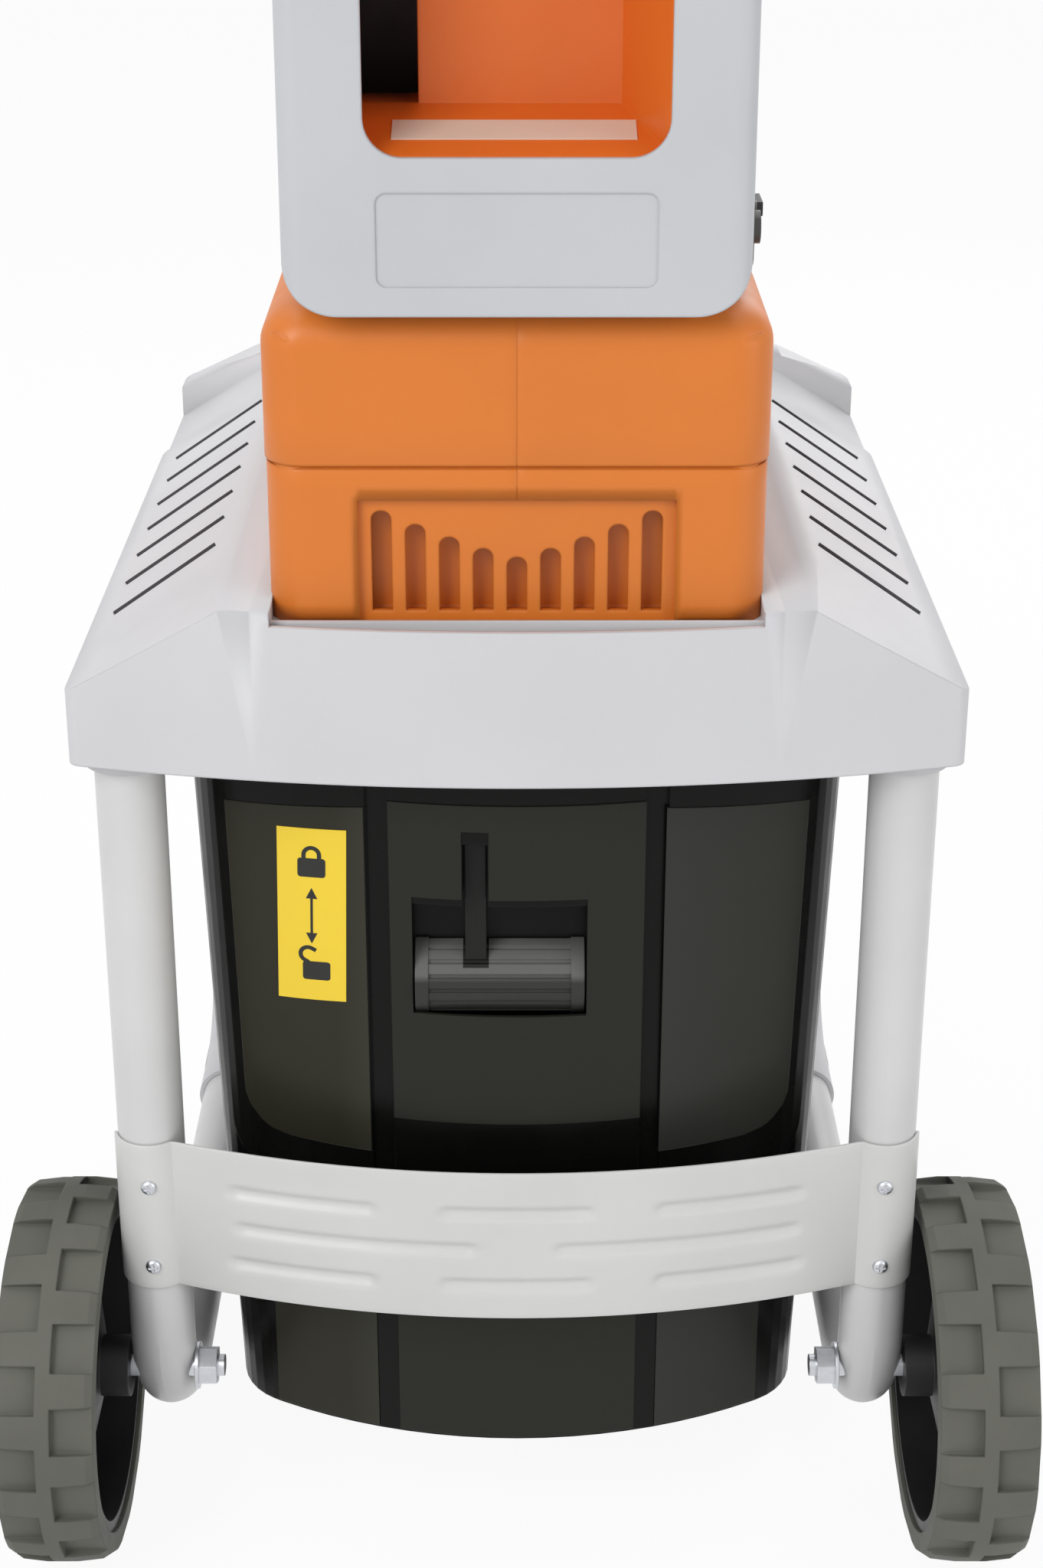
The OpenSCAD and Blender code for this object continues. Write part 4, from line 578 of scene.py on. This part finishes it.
def cross_cutter(places, tip_y):
    """Object with the crosses that are cut into the heads."""
    bm = bmesh.new()
    for x, z in places:
        for w, h in ((ARM_LONG, ARM_HALF), (ARM_HALF, ARM_LONG)):
            arm = [(x - w, z - h), (x + w, z - h), (x + w, z + h), (x - w, z + h)]
            loft(bm, [[(px, y, pz) for px, pz in arm] for y in (tip_y - ARM_OUT, tip_y + ARM_SINK)])
    bmesh.ops.recalc_face_normals(bm, faces=bm.faces)
    mesh = bpy.data.meshes.new("cross_cutter")
    bm.to_mesh(mesh)
    bm.free()
    cutter = bpy.data.objects.new("cross_cutter", mesh)
    scene.collection.objects.link(cutter)
    return cutter


def screw_heads():
    bm = bmesh.new()
    seat_y = LEG_Y - TUBE_R - SHEET
    places = [(side * LEG_X, z) for side in (-1, 1) for z in SCREW_Z]
    turns = [2.0 * math.pi * i / HEAD_SIDES for i in range(HEAD_SIDES)]
    for x, z in places:
        rings = []
        for k in range(HEAD_STEPS + 1):
            a = math.pi / 2.0 * k / HEAD_STEPS
            r = HEAD_R * (math.cos(a) * HEAD_DOME + HEAD_FLAT) if k < HEAD_STEPS else HEAD_TIP_R
            y = seat_y + HEAD_LIFT - HEAD_RISE * math.sin(a)
            rings.append([(x + r * math.cos(t), y, z + r * math.sin(t)) for t in turns])
        rings.insert(0, [(px, seat_y + HEAD_DEEP, pz) for px, _, pz in rings[0]])
        loft(bm, rings)
    heads = add_piece("look_panel_screws", bm, zinc, "base", ("cross_panel_screws",))
    cutter = cross_cutter(places, seat_y - HEAD_RISE)
    mod = heads.modifiers.new("cross", "BOOLEAN")
    mod.operation = "DIFFERENCE"
    mod.solver = "EXACT"
    mod.use_self = True
    mod.object = cutter
    bpy.context.view_layer.update()
    done = bpy.data.meshes.new_from_object(heads.evaluated_get(bpy.context.evaluated_depsgraph_get()))
    heads.modifiers.clear()
    heads.data = done
    bpy.data.objects.remove(cutter)
    smooth_faces(done, SHARP)


screw_heads()

# Bin front: its plain wall as the solid has it, a bow between two rounded corners that flares upwards
BIN_BASE_Z, BIN_HEIGHT = 0.065, 0.4233
BIN_MID_Y, BIN_FLARE_X, BIN_FLARE_Y = 0.0165, 0.0807, 0.06
BIN_BOW_R, BIN_BOW_Y, BIN_BOW_END = 0.3, 0.0845, 0.1396
BIN_CORNER_R, BIN_CORNER_X, BIN_CORNER_Y = 0.04, 0.121, -0.14563
PAD_OFF, LOW_PAD_OFF, PAD_CLEAR, PAD_DEEP = 0.0027, 0.0007, 0.0003, 0.0024
PAD_ACROSS, PAD_UP = 0.045, 0.04
PAD_MARKS, PAD_FOOT = (0.0, 0.03, 0.14, 1.0), {0.01, 0.02}
bin_tree = tree_of("bin")


def on_bin(x, z, off):
    """Point on the bin's bowed front, off metres outside its plain wall and never inside its pads."""
    k = (z - BIN_BASE_Z) / BIN_HEIGHT
    a = abs(x) / (1.0 + BIN_FLARE_X * k)
    if a <= BIN_BOW_END:
        y = BIN_BOW_Y - math.sqrt(BIN_BOW_R ** 2 - a * a)
    else:
        y = BIN_CORNER_Y - math.sqrt(max(0.0, BIN_CORNER_R ** 2 - (a - BIN_CORNER_X) ** 2))
    plain = BIN_MID_Y + y * (1.0 + BIN_FLARE_Y * k)
    hit = bin_tree.ray_cast(Vector((x, -0.5, z)), Vector((0.0, 1.0, 0.0)))
    front = plain - off
    if hit[0] is not None and hit[0].y < plain:
        front = min(front, hit[0].y - PAD_CLEAR - max(0.0, off - PAD_OFF))
    return (x, front, z)


def lines(marks, step):
    """Values through all marks, no further apart than step."""
    out = [marks[0]]
    for a, b in zip(marks, marks[1:]):
        n = max(1, math.ceil((b - a) / step))
        out += [a + (b - a) * i / n for i in range(1, n + 1)]
    return out


def pad(bm, left, right, low, high, holes=(), off=PAD_OFF):
    """One pad; left and right give its edges in x, low and high its ends in z, as functions."""
    across = lines(sorted({0.0, 1.0} | {u for h in holes for u in h[:2]}), PAD_ACROSS)
    up = sorted(set(lines(PAD_MARKS, PAD_UP)) | PAD_FOOT | {v for h in holes for v in h[2:]})
    grid = []
    for v in up:
        row = []
        for u in across:
            z = low(u) + (high(u) - low(u)) * v
            x = left(z) + (right(z) - left(z)) * u
            row.append(bm.verts.new(on_bin(x, z, off)))
        grid.append(row)
    for k in range(len(up) - 1):
        for i in range(len(across) - 1):
            u, v = (across[i] + across[i + 1]) / 2.0, (up[k] + up[k + 1]) / 2.0
            if not any(h[0] < u < h[1] and h[2] < v < h[3] for h in holes):
                bm.faces.new((grid[k][i], grid[k][i + 1], grid[k + 1][i + 1], grid[k + 1][i]))


# Grained pads with a painted reflection: the middle one open over the lock, two beside it, three very low
# ones below
MID_HALF, MID_LOW, MID_HIGH = 0.0662, 0.279, 0.470
POCKET_X, POCKET_Z = (-0.0545, 0.0365), (0.3458, 0.4155)
SLIT_X, SLIT_TOP = (-0.0285, -0.0145), 0.455
SIDE_LOW, SIDE_HIGH, SIDE_DROP = 0.2555, 0.465, 0.009
SIDE_OUT, SIDE_LEAN, SIDE_ROUND = 0.1488, 0.0215, 0.024
LEFT_IN, RIGHT_IN = -0.0788, 0.0768
LOW_PADS = ((-0.138, -0.0785), (-0.0665, 0.0665), (0.0785, 0.138))
LOW_PAD_Z = (0.0665, 0.205)


def side_edge(z):
    """Outer edge of a side pad, rounded at its foot."""
    d = min(SIDE_ROUND, max(0.0, z - SIDE_LOW))
    arc = math.sqrt(max(0.0, SIDE_ROUND * SIDE_ROUND - (SIDE_ROUND - d) ** 2))
    return SIDE_OUT + SIDE_LEAN * (z - SIDE_LOW) - (SIDE_ROUND - arc)


def side_top(inner):
    """Top of a side pad, lower towards its outer edge."""
    return SIDE_HIGH - SIDE_DROP * (1.0 - inner)


def bin_pads():
    def u_of(x):
        return (x + MID_HALF) / (2.0 * MID_HALF)

    def v_of(z):
        return (z - MID_LOW) / (MID_HIGH - MID_LOW)

    bm = bmesh.new()
    pocket = (u_of(POCKET_X[0]), u_of(POCKET_X[1]), v_of(POCKET_Z[0]), v_of(POCKET_Z[1]))
    slit = (u_of(SLIT_X[0]), u_of(SLIT_X[1]), v_of(POCKET_Z[1]), v_of(SLIT_TOP))
    pad(bm, lambda z: -MID_HALF, lambda z: MID_HALF, lambda u: MID_LOW, lambda u: MID_HIGH, (pocket, slit))
    pad(bm, lambda z: -side_edge(z), lambda z: LEFT_IN, lambda u: SIDE_LOW, side_top)
    pad(bm, lambda z: RIGHT_IN, side_edge, lambda u: SIDE_LOW, lambda u: side_top(1.0 - u))
    for x0, x1 in LOW_PADS:
        pad(bm, lambda z, x=x0: x, lambda z, x=x1: x, lambda u: LOW_PAD_Z[0], lambda u: LOW_PAD_Z[1],
            off=LOW_PAD_OFF)
    backed(bm, Vector((0.0, PAD_DEEP, 0.0)))
    add_piece("look_bin_pads", bm, pad_grain_and_sheen, "bin_body")


bin_pads()

# Lock label on the left pad, of own design: closed padlock, arrow both ways, open padlock
LABEL_W, LABEL_H = 0.037, 0.103
LABEL_LOW = ((-0.1275, 0.3440), (-0.0905, 0.3480))
LABEL_HIGH = ((-0.1248, 0.4473), (-0.0878, 0.4507))
LABEL_OFF, LABEL_THICK = 0.0004, 0.0006
LABEL_NX, LABEL_NZ = 14, 30
MARK_THICK, BAR_THICK, MARK_SINK = 0.00012, 0.0001, 0.0002
LOCK_HALF_W, LOCK_HALF_H, LOCK_ROUND = 0.0075, 0.0056, 0.0017
SHACKLE_OUT, SHACKLE_IN, SHACKLE_LEG, SHACKLE_SINK = 0.0053, 0.0030, 0.0026, 0.0006
SHACKLE_PIVOT, SHACKLE_OPEN = -0.0042, math.radians(62.0)
SHUT_B, OPEN_A, OPEN_B = 0.0285, 0.0025, -0.0335
BAR_HALF, HEAD_HALF, HEAD_TALL, BAR_LAP = 0.0007, 0.0031, 0.0064, 0.0004
ARROW_LOW, ARROW_HIGH = -0.0170, 0.0165


def on_label(a, b, off):
    """Point of the label from its middle: a to the right, b up, off above the label's seat."""
    u, v = 0.5 + a / LABEL_W, 0.5 + b / LABEL_H
    place = []
    for i in (0, 1):
        low = LABEL_LOW[0][i] + (LABEL_LOW[1][i] - LABEL_LOW[0][i]) * u
        high = LABEL_HIGH[0][i] + (LABEL_HIGH[1][i] - LABEL_HIGH[0][i]) * u
        place.append(low + (high - low) * v)
    return on_bin(place[0], place[1], PAD_OFF + off)


def lock_label():
    bm = bmesh.new()
    grid = []
    for k in range(LABEL_NZ + 1):
        b = LABEL_H * (k / LABEL_NZ - 0.5)
        across = [LABEL_W * (i / LABEL_NX - 0.5) for i in range(LABEL_NX + 1)]
        grid.append([bm.verts.new(on_label(a, b, LABEL_OFF)) for a in across])
    sheet(bm, grid)
    backed(bm, Vector((0.0, LABEL_THICK, 0.0)))
    add_piece("look_lock_label", bm, label_yellow, "bin_body")


def draped(bm, outline, thick=MARK_THICK):
    """Flat outline in label measures, laid on the label with a little thickness."""
    front = [bm.verts.new(on_label(a, b, LABEL_OFF + thick)) for a, b in outline]
    back = [bm.verts.new(on_label(a, b, LABEL_OFF - MARK_SINK)) for a, b in outline]
    n = len(outline)
    bm.faces.new(front)
    bm.faces.new(list(reversed(back)))
    for i in range(n):
        j = (i + 1) % n
        bm.faces.new((front[j], front[i], back[i], back[j]))


def shackle_arc(radius, degrees):
    turns = [math.radians(t) for t in degrees]
    return [(radius * math.cos(t), SHACKLE_LEG + radius * math.sin(t)) for t in turns]


def padlock(bm, x, z, turn):
    """Body with rounded corners and a ring shackle; turn swings the shackle open."""
    w, h, r = LOCK_HALF_W, LOCK_HALF_H, LOCK_ROUND
    body = []
    for cx, cz, a0 in ((w - r, h - r, 0), (-w + r, h - r, 90), (-w + r, -h + r, 180), (w - r, -h + r, 270)):
        for k in range(5):
            a = math.radians(a0 + 90.0 * k / 4.0)
            body.append((x + cx + r * math.cos(a), z + cz + r * math.sin(a)))
    draped(bm, body)
    ring = [(SHACKLE_OUT, 0.0)] + shackle_arc(SHACKLE_OUT, range(0, 181, 15)) + [(-SHACKLE_OUT, 0.0)]
    ring += [(-SHACKLE_IN, 0.0)] + shackle_arc(SHACKLE_IN, range(180, -1, -15)) + [(SHACKLE_IN, 0.0)]
    pivot = SHACKLE_PIVOT if turn else 0.0
    c, s = math.cos(turn), math.sin(turn)
    foot = z + h - SHACKLE_SINK
    draped(bm, [(x + pivot + (u - pivot) * c - v * s, foot + (u - pivot) * s + v * c) for u, v in ring])


def label_marks():
    bm = bmesh.new()
    padlock(bm, 0.0, SHUT_B, 0.0)
    padlock(bm, OPEN_A, OPEN_B, SHACKLE_OPEN)
    low, high = ARROW_LOW + HEAD_TALL, ARROW_HIGH - HEAD_TALL
    draped(bm, [(-BAR_HALF, low - BAR_LAP), (BAR_HALF, low - BAR_LAP),
                (BAR_HALF, high + BAR_LAP), (-BAR_HALF, high + BAR_LAP)], BAR_THICK)
    draped(bm, [(0.0, ARROW_LOW), (HEAD_HALF, low), (-HEAD_HALF, low)])
    draped(bm, [(0.0, ARROW_HIGH), (-HEAD_HALF, high), (HEAD_HALF, high)])
    bmesh.ops.triangulate(bm, faces=bm.faces)
    add_piece("look_lock_label_marks", bm, label_black, "bin_body")


lock_label()
label_marks()

# Bare pale strip on the floor of the mouth
STRIP_X, STRIP_Y = (-0.0580, 0.0555), (-0.2100, -0.1910)
STRIP_NX, STRIP_NY = 24, 4
STRIP_LIFT, STRIP_THICK = 0.0005, 0.0008
MOUTH_Z = 0.86


def mouth_strip():
    tree = tree_of("hopper_liner")
    bm = bmesh.new()
    grid = []
    for k in range(STRIP_NY + 1):
        y = STRIP_Y[0] + (STRIP_Y[1] - STRIP_Y[0]) * k / STRIP_NY
        row = []
        for i in range(STRIP_NX + 1):
            x = STRIP_X[0] + (STRIP_X[1] - STRIP_X[0]) * i / STRIP_NX
            hit = tree.ray_cast(Vector((x, y, MOUTH_Z)), Vector((0.0, 0.0, -1.0)))
            row.append(bm.verts.new((x, y, hit[0].z + STRIP_LIFT)))
        grid.append(row)
    sheet(bm, grid)
    backed(bm, Vector((0.0, 0.0, -STRIP_THICK)))
    add_piece("look_mouth_strip", bm, strip_pale, "base")


mouth_strip()

# Floor, light and camera
WHITE = (1.0, 1.0, 1.0, 1.0)
FLOOR_GLOW = 0.93
WORLD_LIGHT = 0.55


def seen_by(tree, *rays):
    """Socket that is 1 on the named rays and 0 on all others."""
    path = tree.nodes.new("ShaderNodeLightPath")
    out = path.outputs[rays[0]]
    for ray in rays[1:]:
        most = tree.nodes.new("ShaderNodeMath")
        most.operation = "MAXIMUM"
        tree.links.new(out, most.inputs[0])
        tree.links.new(path.outputs[ray], most.inputs[1])
        out = most.outputs[0]
    return out


def floor_material():
    """Pale floor that looks nearly white and keeps the object's shadow."""
    m = bpy.data.materials.new("floor_pale")
    m.use_nodes = True
    t = m.node_tree
    bsdf = t.nodes["Principled BSDF"]
    bsdf.inputs["Base Color"].default_value = (0.9, 0.9, 0.9, 1.0)
    bsdf.inputs["Roughness"].default_value = 0.9
    glow = t.nodes.new("ShaderNodeEmission")
    glow.inputs["Color"].default_value = WHITE
    glow.inputs["Strength"].default_value = 1.0
    share = t.nodes.new("ShaderNodeMath")
    share.operation = "MULTIPLY"
    share.inputs[1].default_value = FLOOR_GLOW
    mix = t.nodes.new("ShaderNodeMixShader")
    t.links.new(seen_by(t, "Is Camera Ray", "Is Glossy Ray"), share.inputs[0])
    t.links.new(share.outputs[0], mix.inputs[0])
    t.links.new(bsdf.outputs[0], mix.inputs[1])
    t.links.new(glow.outputs[0], mix.inputs[2])
    t.links.new(mix.outputs[0], t.nodes["Material Output"].inputs["Surface"])
    return m


bpy.ops.mesh.primitive_plane_add(size=14.0, location=(0.0, 0.0, -0.0006))
floor = bpy.context.object
floor.name = "floor"
floor.data.materials.append(floor_material())

world = bpy.data.worlds.new("studio")
scene.world = world
world.use_nodes = True
sky = world.node_tree
back = sky.nodes["Background"]
back.inputs["Color"].default_value = WHITE
level = sky.nodes.new("ShaderNodeMapRange")
level.inputs["To Min"].default_value = WORLD_LIGHT
level.inputs["To Max"].default_value = 1.0
sky.links.new(seen_by(sky, "Is Camera Ray", "Is Glossy Ray", "Is Transmission Ray"), level.inputs["Value"])
sky.links.new(level.outputs["Result"], back.inputs["Strength"])


def area_light(name, loc, target, size, power):
    data = bpy.data.lights.new(name, "AREA")
    data.shape = "RECTANGLE"
    data.size = size[0]
    data.size_y = size[1]
    data.energy = power
    obj = bpy.data.objects.new(name, data)
    scene.collection.objects.link(obj)
    obj.location = loc
    obj.rotation_euler = (Vector(target) - Vector(loc)).to_track_quat("-Z", "Y").to_euler()


area_light("key", (-1.5, -2.2, 2.3), (0.0, -0.05, 0.55), (1.4, 1.8), 42.0)
area_light("fill", (2.3, -1.7, 1.3), (0.0, 0.0, 0.5), (1.2, 2.0), 14.0)
area_light("top", (0.0, 0.4, 3.0), (0.0, 0.0, 0.5), (2.2, 2.2), 26.0)
area_light("rim", (1.2, 2.4, 1.8), (0.0, 0.0, 0.5), (1.6, 1.6), 14.0)

# Camera fitted to the photograph: focal length and shifts in its pixels
PHOTO_HEIGHT, FOCAL, SHIFT_X, SHIFT_Y = 2048.0, 3353.0, 6.0, -214.0
SENSOR = 36.0
CAM_TILT = 21.4

cam_data = bpy.data.cameras.new("camera")
cam = bpy.data.objects.new("camera", cam_data)
scene.collection.objects.link(cam)
cam.location = (0.0, -1.391, 1.033)
cam.rotation_euler = (math.radians(90.0 - CAM_TILT), 0.0, 0.0)
cam_data.sensor_fit = "AUTO"
cam_data.sensor_width = SENSOR
cam_data.lens = FOCAL / PHOTO_HEIGHT * SENSOR
cam_data.shift_x = SHIFT_X / PHOTO_HEIGHT
cam_data.shift_y = SHIFT_Y / PHOTO_HEIGHT
scene.camera = cam

scene.view_settings.view_transform = "Standard"
